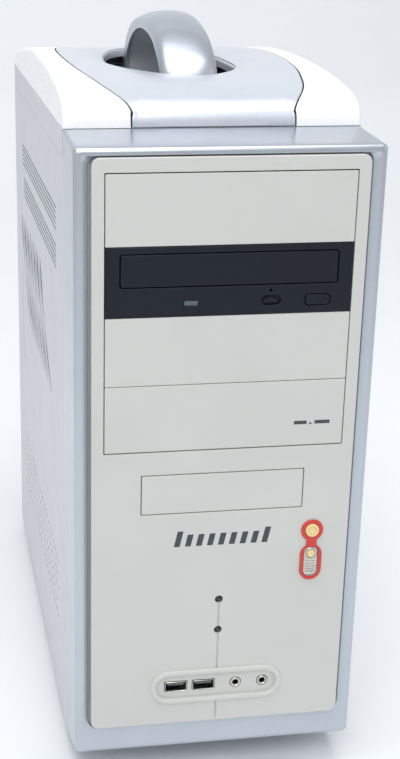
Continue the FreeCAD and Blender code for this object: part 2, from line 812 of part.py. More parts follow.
def switch_insert():
    """The ribbed plate in the lower window, which holds the reset button."""
    top = face_y - surround_thickness + insert_sunk
    body = slab(insert_width, insert_height, 2.7, top, face_y + face_thickness + 3, switch_x, insert_z)
    low = insert_z - insert_height / 2
    first = low + 2.2
    lows = [first + insert_rib_pitch * count for count in range(insert_ribs)]
    ribs = [wide_block(insert_width - 2.4, top - 1, top + 0.4, z, z + insert_groove, switch_x) for z in lows]
    hole = rod(reset_radius + gap, Vec(switch_x, top - 1, reset_z), 20, Y_AXIS)
    return body.cut(ribs + [hole])


def reset_button():
    top = face_y - surround_thickness - reset_proud
    cap = rod(reset_radius, Vec(switch_x, top, reset_z), reset_length, Y_AXIS)
    cap = round_edges(cap, 0.6, lambda edge: lies_at_y(edge, top))
    stem = rod(button_stem_radius, Vec(switch_x, top + reset_length, reset_z), button_stem, Y_AXIS)
    return join([cap, stem])


def front_boards():
    """The small board behind the switches, with a push switch for each button, and the port board."""
    power_end = face_y - front_proud + power_length + button_stem
    reset_end = face_y - surround_thickness - reset_proud + reset_length + button_stem
    y = max(power_end, reset_end) + button_travel + gap + switch_depth
    half = switch_board_width / 2
    board = wide_block(switch_board_width, y, y + board_thickness, reset_z - half, power_z + half, switch_x)
    pads = [wide_block(switch_width, end + button_travel + gap, y, z - switch_width / 2, z + switch_width / 2,
                       switch_x)
            for end, z in ((power_end, power_z), (reset_end, reset_z))]
    return Part.makeCompound([join([board] + pads), port_board()])


def status_lamps():
    lamps = []
    for drop in lamp_drops:
        front = face_y + lamp_sunk
        body = rod(lamp_radius, Vec(0, front, bays_top - drop), lamp_length, Y_AXIS)
        flange = rod(lamp_radius + lamp_flange, Vec(0, face_y + face_thickness + gap, bays_top - drop),
                     lamp_flange_thickness, Y_AXIS)
        dome = round_edges(body, lamp_radius * 0.76, lambda edge: lies_at_y(edge, front))
        lamps.append(join([dome, flange]))
    return Part.makeCompound(lamps)


def port_panel():
    front = face_y - front_proud + ports_sunk
    outer = stadium(ports_width, ports_height, front, face_y, 0, ports_z)
    outer = round_edges(outer, rim_radius, lambda edge: lies_at_y(edge, front))
    plug_height = ports_height - 2 * ports_plug_inset - 2 * gap
    plug_width = ports_width - 2 * ports_plug_inset - 2 * gap
    plug = stadium(plug_width, plug_height, face_y - 0.5, face_y + face_thickness, 0, ports_z)
    recess = stadium(ports_width - 2 * rim_width, ports_height - 2 * rim_width, front - 1,
                     face_y + face_thickness - ports_floor, 0, ports_z)
    usb = [wide_block(usb_width + 2 * gap, face_y - 5, face_y + 10, ports_z - usb_height / 2 - gap,
                      ports_z + usb_height / 2 + gap, x) for x in usb_places]
    jacks = [rod(jack_radius + gap, Vec(x, face_y - 5, ports_z), 20, Y_AXIS) for x in jack_places]
    return join([outer, plug]).cut([recess] + usb + jacks)


def usb_shells():
    y0, y1 = face_y + usb_sunk, face_y + usb_sunk + usb_length
    shells = []
    for x in usb_places:
        z0, z1 = ports_z - usb_height / 2, ports_z + usb_height / 2
        tube = wide_block(usb_width, y0, y1, z0, z1, x)
        hole = wide_block(usb_width - 2 * usb_wall, y0 - 1, y1 - usb_wall, z0 + usb_wall, z1 - usb_wall, x)
        shells.append(tube.cut(hole))
    return Part.makeCompound(shells)


def usb_tongues():
    y0, y1 = face_y + tongue_setback, face_y + usb_sunk + usb_length - usb_wall
    high = ports_z + usb_height / 2 - usb_wall - 0.7
    tongues = []
    for x in usb_places:
        tongue = wide_block(tongue_width, y0, y1 - tongue_root, high - tongue_thickness, high, x)
        half = usb_height / 2 - usb_wall - gap
        root = wide_block(usb_width - 2 * usb_wall - 2 * gap, y1 - tongue_root, y1, ports_z - half,
                          ports_z + half, x)
        tongues.append(join([tongue, root]))
    return Part.makeCompound(tongues)


def audio_jacks():
    jacks = []
    for x in jack_places:
        front = face_y + jack_sunk
        nose = rod(jack_radius, Vec(x, front, ports_z), jack_nose, Y_AXIS)
        nose = round_edges(nose, 0.5, lambda edge: lies_at_y(edge, front))
        body = wide_block(jack_body, face_y + jack_nose, face_y + usb_sunk + usb_length,
                          ports_z - jack_body / 2, ports_z + jack_body / 2, x)
        bore = rod(jack_bore, Vec(x, face_y - 1, ports_z), jack_length, Y_AXIS)
        jacks.append(join([nose, body]).cut(bore))
    return Part.makeCompound(jacks)


def port_board():
    y0 = face_y + face_thickness + gap
    z1 = ports_z - jack_body / 2 - gap
    half = ports_width / 2 - ports_plug_inset - 1
    return block(-half, half, y0 + 1, y0 + 1 + port_board_depth, z1 - board_thickness, z1)


# ---------------------------------------------------------------- top cover, centre panel and handle
def cover_solid(inset, half):
    """The top cover's outline as a prism across the case, pulled in by inset."""
    floor = strip_top + gap
    middle = (cover_profile[0][0] + cover_profile[-1][0]) / 2
    reach = (cover_profile[-1][0] - cover_profile[0][0]) / 2
    pulled = [(middle + (behind - middle) * (reach - inset) / reach, above - inset)
              for behind, above in cover_profile]
    points = yz_points(pulled, -half)
    points[0].z = floor
    points[-1].z = floor
    edges = [spline_edge(points[1:-1]), Part.makeLine(points[-2], points[-1]),
             Part.makeLine(points[-1], points[0]), Part.makeLine(points[0], points[1])]
    return Part.Face(Part.Wire(edges)).extrude(Vec(2 * half, 0, 0))


def centre_prism(shrink):
    """The centre panel's plan outline, pulled in by shrink, as an upright prism."""
    right = [Vec(half * top_widening - shrink, top_y(behind), bays_top) for behind, half in centre_outline]
    left = [Vec(-point.x, point.y, point.z) for point in reversed(right)]
    back = Vec(0, top_y(centre_back) - shrink, bays_top)
    front = top_start - 10
    curve = spline_edge(right + [back] + left)
    corners = [left[-1], Vec(left[-1].x, front, bays_top), Vec(right[0].x, front, bays_top), right[0]]
    wire = Part.Wire([curve] + [Part.makeLine(corners[i], corners[i + 1]) for i in range(3)])
    return Part.Face(wire).extrude(Vec(0, 0, 80))


def top_cover():
    shell = cover_solid(0, half_width).cut(cover_solid(cover_wall, half_width - cover_wall))
    return shell.cut(centre_prism(0))


def bowl(grow):
    """The ellipsoid that hollows the dish, wide at the crest and at the oval's edge below it."""
    crest = bays_top + max(above for behind, above in cover_profile)
    edge = bays_top + well_edge_height
    reach = 0.775
    rim = math.sqrt(1 - reach ** 2)
    ratio = well_width / dish_width * reach
    low = math.sqrt(1 - ratio ** 2)
    half_x = dish_width / 2 / reach
    half_y = dish_long / 2 / reach
    half_z = (crest - edge) / (low - rim)
    middle = crest + half_z * rim
    ball = Part.makeSphere(1.0)
    matrix = FreeCAD.Matrix()
    matrix.scale(Vec(half_x + grow, half_y + grow, half_z + grow))
    matrix.move(Vec(0, dish_y, middle))
    return ball.transformGeometry(matrix)


def oval(width, length, z0, z1):
    """An upright elliptic cylinder at the middle of the dish."""
    ellipse = Part.Ellipse(Vec(0, dish_y + length / 2, z0), Vec(-width / 2, dish_y, z0), Vec(0, dish_y, z0))
    return Part.Face(Part.Wire([ellipse.toShape()])).extrude(Vec(0, 0, z1 - z0))


def top_centre_panel():
    outer = cover_solid(0, half_width).cut(bowl(0))
    inner = cover_solid(cover_wall, half_width - cover_wall).cut(bowl(cover_wall))
    shell = outer.cut(inner).common(centre_prism(seam))
    return shell.cut(oval(well_width, well_long, bays_top, bays_top + 80))


def handle_well():
    """The dark pan under the oval: a floor and an upright wall."""
    width, length = well_width - 2 * seam, well_long - 2 * seam
    outer = oval(width, length, well_z, well_top)
    inner = oval(width - 2 * well_wall, length - 2 * well_wall, well_z + well_wall, well_top + 1)
    holes = [rod(handle_screw_radius + gap, Vec(x, y, well_z - 1), 10, Z_AXIS)
             for x, y in handle_screw_places()]
    seats = [rod(handle_screw_head + gap, Vec(x, y, well_z - 1), 1 + handle_head_depth, Z_AXIS)
             for x, y in handle_screw_places()]
    return outer.cut([inner] + holes + seats)


def handle_screw_places():
    front = top_y((handle_outer[0][0] + handle_inner[0][0]) / 2)
    rear = top_y((handle_outer[-1][0] + handle_inner[-1][0]) / 2)
    return [(x, y) for x in (-handle_width / 4, handle_width / 4) for y in (front, rear)]


def carry_handle():
    half = handle_width / 2
    foot = well_z + well_wall
    outer = yz_points(handle_outer, -half)
    inner = yz_points(handle_inner, -half)
    for end in (outer[0], outer[-1], inner[0], inner[-1]):
        end.z = foot
    edges = [spline_edge(outer), Part.makeLine(outer[-1], inner[-1]), spline_edge(inner),
             Part.makeLine(inner[0], outer[0])]
    strap = Part.Face(Part.Wire(Part.sortEdges(edges)[0])).extrude(Vec(handle_width, 0, 0))
    crest = max(edge.BoundBox.ZMax for edge in strap.Edges)
    strap = round_edges(strap, handle_edge_radius,
                        lambda edge: edge.BoundBox.ZMax > crest - 1 and edge.BoundBox.XLength < 1e-4)
    holes = [rod(handle_screw_radius + shaft_play, Vec(x, y, foot - 1), handle_screw_length, Z_AXIS)
             for x, y in handle_screw_places()]
    return strap.cut(holes)


def handle_screws():
    screws = []
    for x, y in handle_screw_places():
        shank = rod(handle_screw_radius, Vec(x, y, well_z), handle_screw_length, Z_AXIS)
        head = rod(handle_screw_head, Vec(x, y, well_z), handle_head_depth, Z_AXIS)
        screws.append(join([shank, head]))
    return Part.makeCompound(screws)


# ---------------------------------------------------------------- side panels and thumbscrews
def side_panel(side):
    """A flanged steel sheet that covers one side and folds round the back edge."""
    def piece(inner, outer, y0, y1, z0, z1):
        ends = sorted((side * inner, side * outer))
        return block(ends[0], ends[1], y0, y1, z0, z1)
    inside = half_width - sheet
    plate = piece(inside, half_width, panel_front, back_y, panel_bottom, panel_top)
    low = piece(half_width - panel_flange, half_width, panel_front, back_y, panel_bottom, panel_bottom + sheet)
    high = piece(half_width - panel_flange, half_width, panel_front, back_y, panel_top - sheet, panel_top)
    rear = piece(half_width - rear_flange, half_width, back_y - sheet, back_y, panel_bottom, panel_top)
    holes = [rod(screw_shank_radius + shaft_play, Vec(x, back_y - 5, z), 10, Y_AXIS)
             for at, x, z in screw_places() if at == side]
    panel = join([plate, low, high, rear]).cut(holes)
    if side < 0:
        panel = panel.cut(vent_slots())
    return panel


def vent_slots():
    """Five rows of short slots, low on the left panel, each row shifted by half a pitch."""
    slots = []
    for row in range(vent_rows):
        z = vent_z + row * vent_row_pitch
        for count in range(vent_columns):
            y = face_y + vent_start + vent_pitch * (count + 0.5 * (row % 2))
            slots.append(block(-half_width - 1, -half_width + sheet + 0.001, y, y + vent_length,
                               z, z + vent_slot))
    return slots


def thumbscrew(number):
    side, x, z = screw_places()[number]
    shank = rod(screw_shank_radius, Vec(x, back_y - screw_shank_length, z), screw_shank_length + 1, Y_AXIS)
    head = rod(screw_head_radius, Vec(x, back_y + gap, z), screw_head_length - gap, Y_AXIS)
    head = round_edges(head, 0.8, lambda edge: lies_at_y(edge, back_y + screw_head_length))
    flutes = []
    for count in range(flute_count):
        turn = 2 * math.pi * count / flute_count
        place = Vec(x + screw_head_radius * math.cos(turn), back_y + flute_start,
                    z + screw_head_radius * math.sin(turn))
        flutes.append(rod(flute_radius, place, screw_head_length, Y_AXIS))
    end = back_y + screw_head_length
    slot = wide_block(screw_head_radius * 3, end - screw_slot_depth, end + 1, z - screw_slot_width / 2,
                      z + screw_slot_width / 2, x)
    return join([shank, head]).cut(flutes + [slot])


# ---------------------------------------------------------------- optical drive
def drive_case():
    y0, y1 = face_y + bezel_thickness + gap, face_y + bezel_thickness + gap + drive_length
    half = drive_body_width / 2
    shell = box_wall(-half, half, y0, y1, drive_bottom, drive_top, drive_wall, open_front=True)
    return join([shell, spindle_deck()])


def drive_bezel():
    top = bays_top - bay_pitch * drive_bay - gap / 2
    height = bay_pitch - gap
    y1 = face_y + bezel_thickness
    plate = slab(bay_width, height, 0.8, face_y, y1, 0, top - height / 2)
    plate = round_edges(plate, 0.6, lambda edge: lies_at_y(edge, face_y))
    door = slab(door_width + 2 * seam, door_height + 2 * seam, 2.0, face_y - 1, y1 + 1, 0, door_z)
    eject = slab(eject_width + 2 * gap, eject_height + 2 * gap, 1.5, face_y - 1, y1 + 1, eject_x, eject_z)
    lamp = wide_block(lamp_width + 2 * shaft_play, face_y - 1, y1 + 1, eject_z - lamp_height / 2 - shaft_play,
                      eject_z + lamp_height / 2 + shaft_play, lamp_x)
    lens = slab(lens_width, lens_height, lens_height / 2 - 0.1, face_y - 1, face_y + 1.2, lens_x,
                drive_top - lens_drop)
    pinhole = rod(0.8, Vec(lens_x, face_y - 1, drive_top - lens_drop + 6), 10, Y_AXIS)
    return plate.cut([door, eject, lamp, lens, pinhole])


def drive_lamp():
    return wide_block(lamp_width, face_y + 0.3, face_y + bezel_thickness + 1, eject_z - lamp_height / 2,
                      eject_z + lamp_height / 2, lamp_x)


def tray_door():
    door = slab(door_width, door_height, 2 * door_edge, face_y, face_y + door_thickness, 0, door_z)
    return round_edges(door, door_edge, lambda edge: lies_at_y(edge, face_y))


def disc_tray():
    """The drawer: a plate with a stepped recess for the disc and a slot over the spindle."""
    y0 = face_y + door_thickness
    z0, z1 = door_z - tray_thickness / 2, door_z + tray_thickness / 2
    plate = wide_block(tray_width, y0, y0 + tray_length, z0, z1)
    recess = rod(disc_recess_radius, Vec(0, disc_y, z1 - disc_recess_depth), 10, Z_AXIS)
    small = rod(disc_recess_radius * 2 / 3, Vec(0, disc_y, z1 - disc_recess_depth - 1), 10, Z_AXIS)
    half = hub_slot_width / 2
    slot = wide_block(hub_slot_width, disc_y - half, y0 + tray_length + 1, z0 - 1, z1 + 1)
    round_end = rod(half, Vec(0, disc_y, z0 - 1), tray_thickness + 2, Z_AXIS)
    return plate.cut([recess, small, slot, round_end])


def disc_spindle():
    low = drive_bottom + drive_wall + deck_gap
    motor = rod(spindle_radius, Vec(0, disc_y, low), spindle_height, Z_AXIS)
    hub = rod(hub_radius, Vec(0, disc_y, low), spindle_height + hub_height, Z_AXIS)
    bore = rod(spindle_pin_radius + shaft_play, Vec(0, disc_y, low - 1), spindle_height - 1, Z_AXIS)
    return join([motor, hub]).cut(bore)


def spindle_deck():
    """The plate in the drive that carries the spindle on a fixed pin, and the two sled rails."""
    low = drive_bottom + drive_wall
    plate = wide_block(deck_width, disc_y - deck_width * 0.45, disc_y + deck_width * 0.6, low,
                       low + deck_thickness)
    pin = rod(spindle_pin_radius, Vec(0, disc_y, low), deck_gap + spindle_height - 3, Z_AXIS)
    start = disc_y + spindle_radius + 1
    rails = [rod(rail_radius, Vec(x, start + 1, low + 4), rail_length, Y_AXIS)
             for x in (-rail_half_gap, rail_half_gap)]
    posts = [wide_block(5, y, y + 3, low, low + 6, x) for x in (-rail_half_gap, rail_half_gap)
             for y in (start, start + rail_length - 1)]
    return join([plate, pin] + rails + posts)


def eject_button():
    front = face_y - eject_proud
    button = slab(eject_width, eject_height, 1.4, front, face_y + bezel_thickness, eject_x, eject_z)
    button = round_edges(button, 0.5, lambda edge: lies_at_y(edge, front))
    stem = wide_block(eject_stem, face_y + bezel_thickness - 1, front + eject_length, eject_z - 1.5,
                      eject_z + 1.5, eject_x)
    return join([button, stem])


# ---------------------------------------------------------------- power supply
def supply_cuts(y0, y1):
    fan = rod(fan_bore_radius, Vec(supply_fan_x, y0, supply_z), y1 - y0, Y_AXIS)
    half = inlet_height / 2 + gap
    inlet = wide_block(inlet_width + 2 * gap, y0, y1, inlet_z - half, inlet_z + half, inlet_x)
    half = rocker_height / 2 + rocker_frame_wall + gap
    width = rocker_width + 2 * rocker_frame_wall + 2 * gap
    rocker = wide_block(width, y0, y1, rocker_z - half, rocker_z + half, inlet_x)
    half = selector_height / 2 + gap
    width = selector_width + selector_travel + 2 * gap
    selector = wide_block(width, y0, y1, selector_z - half, selector_z + half, selector_x)
    return [fan, inlet, rocker, selector]


def supply_case():
    half = supply_width / 2
    shell = box_wall(-half, half, supply_front, supply_back, supply_bottom, supply_top, sheet)
    first = supply_z - supply_slot_pitch * (supply_slots - 1) / 2 - supply_slot[1] / 2
    slots = [wide_block(supply_slot[0], supply_front - 1, supply_front + 3, first + supply_slot_pitch * count,
                        first + supply_slot[1] + supply_slot_pitch * count) for count in range(supply_slots)]
    return shell.cut(supply_cuts(supply_back - 3, supply_back + 3) + slots)


def supply_fan_frame():
    centre = Vec(supply_fan_x, supply_back - sheet - gap - fan_depth, supply_z)
    return fan_frame(fan_size, fan_depth, fan_bore_radius, centre, True)


def supply_fan_rotor():
    centre = Vec(supply_fan_x, supply_back - sheet - gap - fan_depth, supply_z)
    return fan_rotor(fan_size, fan_depth, rotor_radius, centre, True)


def supply_fan_grille():
    """Wire rings joined by a cross, over the power supply's fan."""
    y = supply_back + gap
    reach = fan_bore_radius + 1.5
    rings = []
    for share in grille_rings:
        ring = rod(reach * share, Vec(supply_fan_x, y, supply_z), grille_wire, Y_AXIS)
        rings.append(ring.cut(rod(reach * share - grille_wire, Vec(supply_fan_x, y - 1, supply_z), 4, Y_AXIS)))
    bars = []
    for turn in (45, 135):
        bar = Part.makeBox(2 * reach, grille_wire, grille_wire, Vec(-reach, 0, -grille_wire / 2))
        bar.rotate(Vec(0, 0, 0), Y_AXIS, turn)
        bar.translate(Vec(supply_fan_x, y, supply_z))
        bars.append(bar)
    return join(rings + bars)


def inlet_and_switch():
    """A three-pin appliance inlet: housing, recess and pins, and the switch housing above it."""
    y1 = supply_back + inlet_proud
    y0 = y1 - inlet_depth
    z0, z1 = inlet_z - inlet_height / 2, inlet_z + inlet_height / 2
    body = wide_block(inlet_width, y0, y1, z0, z1, inlet_x)
    recess = wide_block(inlet_width - 2 * inlet_wall, y1 - inlet_recess, y1 + 1, z0 + inlet_wall,
                        z1 - inlet_wall, inlet_x)
    recess = round_edges(recess, 3.0, lambda edge: runs_along(edge, Y_AXIS) and edge.BoundBox.ZMin > inlet_z)
    wide, high, behind = inlet_pin
    pins = [wide_block(wide, y0, y1 - behind, inlet_z + up - high / 2, inlet_z + up + high / 2,
                       inlet_x + across) for across, up in inlet_pins]
    return Part.makeCompound([join([body.cut(recess)] + pins), rocker_frame()])


def rocker_frame():
    """The bezel of the rocker switch, which carries the rocker's pivot pin."""
    y1 = supply_back + inlet_proud
    y0 = y1 - rocker_frame_depth
    width, height = rocker_width + 2 * rocker_frame_wall, rocker_height + 2 * rocker_frame_wall
    body = wide_block(width, y0, y1, rocker_z - height / 2, rocker_z + height / 2, inlet_x)
    hollow = wide_block(rocker_width + 1, y0 + 1.5, y1 + 1, rocker_z - rocker_height / 2 - 0.5,
                        rocker_z + rocker_height / 2 + 0.5, inlet_x)
    pin = rod(rocker_pin_radius, Vec(inlet_x, y1 - rocker_pivot, rocker_z - height / 2), height, Z_AXIS)
    return join([body.cut(hollow), pin])


def rocker_button():
    """A rocker with two slanted halves, bored for the pivot pin."""
    pivot_y = supply_back + inlet_proud - rocker_pivot
    half = rocker_width / 2 - 0.5
    rise = 6.0
    bend = 2.0
    outline = [(-half, rise), (0, rise - bend), (half, rise), (half, 1.0), (2.5, -3.0), (-2.5, -3.0),
               (-half, 1.0)]
    points = [Vec(inlet_x + x, pivot_y + y, rocker_z - rocker_height / 2) for x, y in outline]
    body = Part.Face(Part.makePolygon(points + [points[0]])).extrude(Vec(0, 0, rocker_height))
    bore = rod(rocker_pin_radius + shaft_play, Vec(inlet_x, pivot_y, rocker_z - rocker_height),
               2 * rocker_height, Z_AXIS)
    body = body.cut(bore)
    body.rotate(Vec(inlet_x, pivot_y, rocker_z), Z_AXIS, rocker_tilt)
    return body


def voltage_selector():
    """A notched slider, wider behind the wall that holds it in."""
    x = selector_x - selector_travel / 2
    half = selector_height / 2
    inside = supply_back - sheet
    slider = wide_block(selector_width, inside - 2, supply_back - selector_sunk, selector_z - half,
                        selector_z + half, x)
    base = wide_block(selector_width + 3, inside - 4, inside - gap, selector_z - half - 2,
                      selector_z + half + 2, x)
    notch = wide_block(selector_notch, supply_back - selector_notch, supply_back + 1, selector_z - half - 1,
                       selector_z + half + 1, x)
    return join([slider, base]).cut(notch)


# ---------------------------------------------------------------- rear fan, connectors and slots
def rear_fan_centre():
    return Vec(rear_fan_x, rear_sheet_y - gap - fan_depth, rear_fan_z)


def rear_fan_frame():
    return fan_frame(fan_size, fan_depth, fan_bore_radius, rear_fan_centre(), True)


def rear_fan_rotor():
    return fan_rotor(fan_size, fan_depth, rotor_radius, rear_fan_centre(), True)


# Each rear connector: height of its middle below the shield's top, offset, width across, height and length.
rear_ports = [("ps2", 12.0, -7.5, 13.0, 13.0, 13.0), ("ps2", 12.0, 8.5, 13.0, 13.0, 13.0),
              ("block", 32.0, -2.0, 14.0, 15.0, 17.0), ("block", 62.0, 0.0, 31.0, 12.0, 13.0),
              ("block", 92.0, -4.0, 15.0, 15.0, 17.0), ("block", 112.0, -4.0, 16.0, 14.0, 17.0),
              ("jack", 130.0, -9.0, 11.0, 11.0, 14.0), ("jack", 130.0, 4.0, 11.0, 11.0, 14.0),
              ("jack", 145.0, -9.0, 11.0, 11.0, 14.0)]


def port_solid(kind, drop, across, width, height, length, grow, y0, y1):
    x = shield_x + across
    z = shield_z + shield_height / 2 - drop
    if kind == "block":
        return wide_block(width + grow, y0, y1, z - height / 2 - grow / 2, z + height / 2 + grow / 2, x)
    return rod(min(width, height) / 2 + grow / 2, Vec(x, y0, z), y1 - y0, Y_AXIS)


def io_shield():
    y0, y1 = rear_sheet_y - gap - shield_thickness, rear_sheet_y - gap
    half = shield_height / 2
    plate = wide_block(shield_width, y0, y1, shield_z - half, shield_z + half, shield_x)
    return plate.cut([port_solid(*port, 1.0, y0 - 1, y1 + 1) for port in rear_ports])


def rear_connectors():
    """The blocks behind the shield, each with its socket."""
    blocks = []
    y1 = rear_sheet_y + sheet + 1.0
    for port in rear_ports:
        kind, drop, across, width, height, length = port
        solid = port_solid(*port, 0.0, board_back - 8, y1)
        if kind == "block":
            socket = port_solid(kind, drop, across, width - 3, height - 3, length, 0.0, y1 - 9, y1 + 1)
        else:
            z = shield_z + shield_height / 2 - drop
            radius = 4.2 if kind == "ps2" else jack_bore
            socket = rod(radius, Vec(shield_x + across, y1 - 10, z), 12, Y_AXIS)
        blocks.append(solid.cut(socket))
    return Part.makeCompound(blocks)


def slot_covers():
    covers = []
    x = slot_x()
    y1 = rear_sheet_y - gap
    for count in range(slot_count):
        z = slot_top - slot_pitch * count
        low, high = z - slot_cover_width / 2, z + slot_cover_width / 2
        plate = wide_block(slot_cover_length - 6, y1 - 0.9, y1, low, high, x)
        tab = wide_block(11, y1 - 11, y1, low, high, x - slot_cover_length / 2 + 3 + 5.5)
        tab = tab.common(wide_block(0.9, y1 - 11, y1, z - 30, z + 30, x - slot_cover_length / 2 + 3 + 0.45))
        covers.append(join([plate, tab]))
    return Part.makeCompound(covers)


# ---------------------------------------------------------------- motherboard
def motherboard():
    plate = block(board_face, board_x, board_front, board_back, board_bottom, board_top)
    holes = [rod(1.8, Vec(board_face - 1, y, z), board_thickness + 2, X_AXIS) for y, z in standoff_places()]
    return plate.cut(holes)


def on_board(y0, y1, z0, z1, height):
    """A block that stands on the motherboard, towards the left panel."""
    return block(board_face - height, board_face, y0, y1, z0, z1)


def board_components():
    """Memory sockets, card slots, headers, chips, battery, capacitors and the socketed processor."""
    top = board_top - 14
    parts = [on_board(board_front + 22 + 12 * count, board_front + 29 + 12 * count, top - 140, top, 7)
             for count in range(2)]
    parts += [on_board(board_back - 130, board_back - 45, slot_top - slot_pitch * count - 4,
                       slot_top - slot_pitch * count + 4, 11) for count in range(3)]
    parts.append(on_board(board_front + 4, board_front + 13, board_bottom + 20, board_bottom + 75, 9))
    parts.append(on_board(board_front + 50, board_front + 60, board_top - 70, board_top - 18, 12))
    return Part.makeCompound(parts + board_chips() + [processor()])


def board_chips():
    """The two chipset packages, the battery and a row of capacitors."""
    north = on_board(cooler_y - 30, cooler_y + 5, cooler_z - 95, cooler_z - 60, 9)
    south = on_board(board_front + 62, board_front + 92, board_bottom + 30, board_bottom + 60, 3)
    battery = rod(10, Vec(board_face - 4, board_front + 80, board_bottom + 12), 4, X_AXIS)
    cans = [rod(4, Vec(board_face - 14, cooler_y - 36 + 10 * count, board_top - 20), 14, X_AXIS)
            for count in range(8)]
    return [north, south, battery] + cans


def memory_modules():
    top = board_top - 14 - 3.5
    modules = []
    for count in range(2):
        y = board_front + 25.5 + 12 * count
        stick = block(board_face - 7 - memory_height, board_face - 7, y - 0.65, y + 0.65,
                      top - memory_length, top)
        chips = [block(board_face - 7 - 24, board_face - 7 - 12, y - 1.9, y + 1.9, top - 17 - 15 * chip,
                       top - 7 - 15 * chip) for chip in range(8)]
        modules.append(join([stick] + chips))
    return Part.makeCompound(modules)


def processor():
    """The processor in its socket, under the heatsink."""
    socket = on_board(cooler_y - 26, cooler_y + 26, cooler_z - 26, cooler_z + 26, 3)
    package = block(board_face - 5, board_face - 3, cooler_y - 18, cooler_y + 18, cooler_z - 18, cooler_z + 18)
    return join([socket, package])


def heatsink():
    half = heatsink_size / 2
    seat = board_face - 5
    base = block(seat - heatsink_base, seat, cooler_y - half, cooler_y + half, cooler_z - half, cooler_z + half)
    pitch = (heatsink_size - fin_thickness) / (fin_count - 1)
    fins = [block(seat - heatsink_height, seat - heatsink_base + 0.5, cooler_y - half + pitch * count,
                  cooler_y - half + pitch * count + fin_thickness, cooler_z - half, cooler_z + half)
            for count in range(fin_count)]
    return join([base] + fins)


def cooler_centre():
    seat = board_face - 5
    return Vec(seat - heatsink_height - gap - cooler_fan_depth, cooler_y, cooler_z)


def cooler_fan_frame():
    bore = cooler_fan_size / 2 - fan_wall
    return fan_frame(cooler_fan_size, cooler_fan_depth, bore, cooler_centre(), False)


def cooler_fan_rotor():
    radius = cooler_fan_size / 2 - fan_wall - rotor_play
    return fan_rotor(cooler_fan_size, cooler_fan_depth, radius, cooler_centre(), False)


def hard_drive():
    y0 = front_sheet_y + sheet + 2
    half = disk_width / 2
    body = block(-half, half, y0, y0 + disk_length, disk_bottom, disk_bottom + disk_height)
    body = round_edges(body, 2.0, lambda edge: runs_along(edge, Z_AXIS))
    lid_step = block(-half + 3, half - 3, y0 + 4, y0 + disk_length - 12, disk_bottom + disk_height - 1,
                     disk_bottom + disk_height + 1)
    notch = wide_block(60, y0 + disk_length - 8, y0 + disk_length + 1, disk_bottom - 1, disk_bottom + 12)
    screw_z = disk_bottom + disk_screw_height
    holes = [rod(disk_screw_radius, Vec(side * half - 3, y0 + place, screw_z), 6, X_AXIS)
             for side in (-1, 1) for place in disk_screw_places]
    return join([body, lid_step]).cut([notch] + holes)


# ---------------------------------------------------------------- the whole tower
nodes = {
    "chassis_base": chassis_base,
    "chassis_front_sheet": chassis_front_sheet,
    "chassis_rear_sheet": chassis_rear_sheet,
    "chassis_top_tray": chassis_top_tray,
    "motherboard_tray": motherboard_tray,
    "drive_cage": drive_cage,
    "rubber_feet": rubber_feet,
    "bezel_frame": bezel_frame,
    "face_plate": face_plate,
    "bay_blank_top": lambda: bay_blank(0),
    "bay_blank_third": lambda: bay_blank(2),
    "bay_blank_fourth": lambda: bay_blank(3),
    "floppy_blank": floppy_blank,
    "switch_surround": switch_surround,
    "power_button": power_button,
    "switch_insert": switch_insert,
    "reset_button": reset_button,
    "front_boards": front_boards,
    "status_lamps": status_lamps,
    "port_panel": port_panel,
    "usb_shells": usb_shells,
    "usb_tongues": usb_tongues,
    "audio_jacks": audio_jacks,
    "top_cover": top_cover,
    "top_centre_panel": top_centre_panel,
    "handle_well": handle_well,
    "carry_handle": carry_handle,
    "handle_screws": handle_screws,
    "left_side_panel": lambda: side_panel(-1),
    "right_side_panel": lambda: side_panel(1),
    "left_upper_thumbscrew": lambda: thumbscrew(0),
    "left_lower_thumbscrew": lambda: thumbscrew(1),
    "right_upper_thumbscrew": lambda: thumbscrew(2),
    "right_lower_thumbscrew": lambda: thumbscrew(3),
    "drive_case": drive_case,
    "drive_bezel": drive_bezel,
    "drive_lamp": drive_lamp,
    "tray_door": tray_door,
    "disc_tray": disc_tray,
    "disc_spindle": disc_spindle,
    "eject_button": eject_button,
    "supply_case": supply_case,
    "supply_fan_frame": supply_fan_frame,
    "supply_fan_rotor": supply_fan_rotor,
    "supply_fan_grille": supply_fan_grille,
    "inlet_and_switch": inlet_and_switch,
    "rocker_button": rocker_button,
    "voltage_selector": voltage_selector,
    "rear_fan_frame": rear_fan_frame,
    "rear_fan_rotor": rear_fan_rotor,
    "io_shield": io_shield,
    "rear_connectors": rear_connectors,
    "slot_covers": slot_covers,
    "motherboard": motherboard,
    "board_components": board_components,
    "memory_modules": memory_modules,
    "heatsink": heatsink,
    "cooler_fan_frame": cooler_fan_frame,
    "cooler_fan_rotor": cooler_fan_rotor,
    "hard_drive": hard_drive,
}


def main():
    os.makedirs("parts", exist_ok=True)
    for name, make in nodes.items():
        make().exportStep("parts/%s.step" % name)
    print(len(nodes), "nodes written")


main()
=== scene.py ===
import math

import bmesh
import bpy
from mathutils import Matrix, Vector


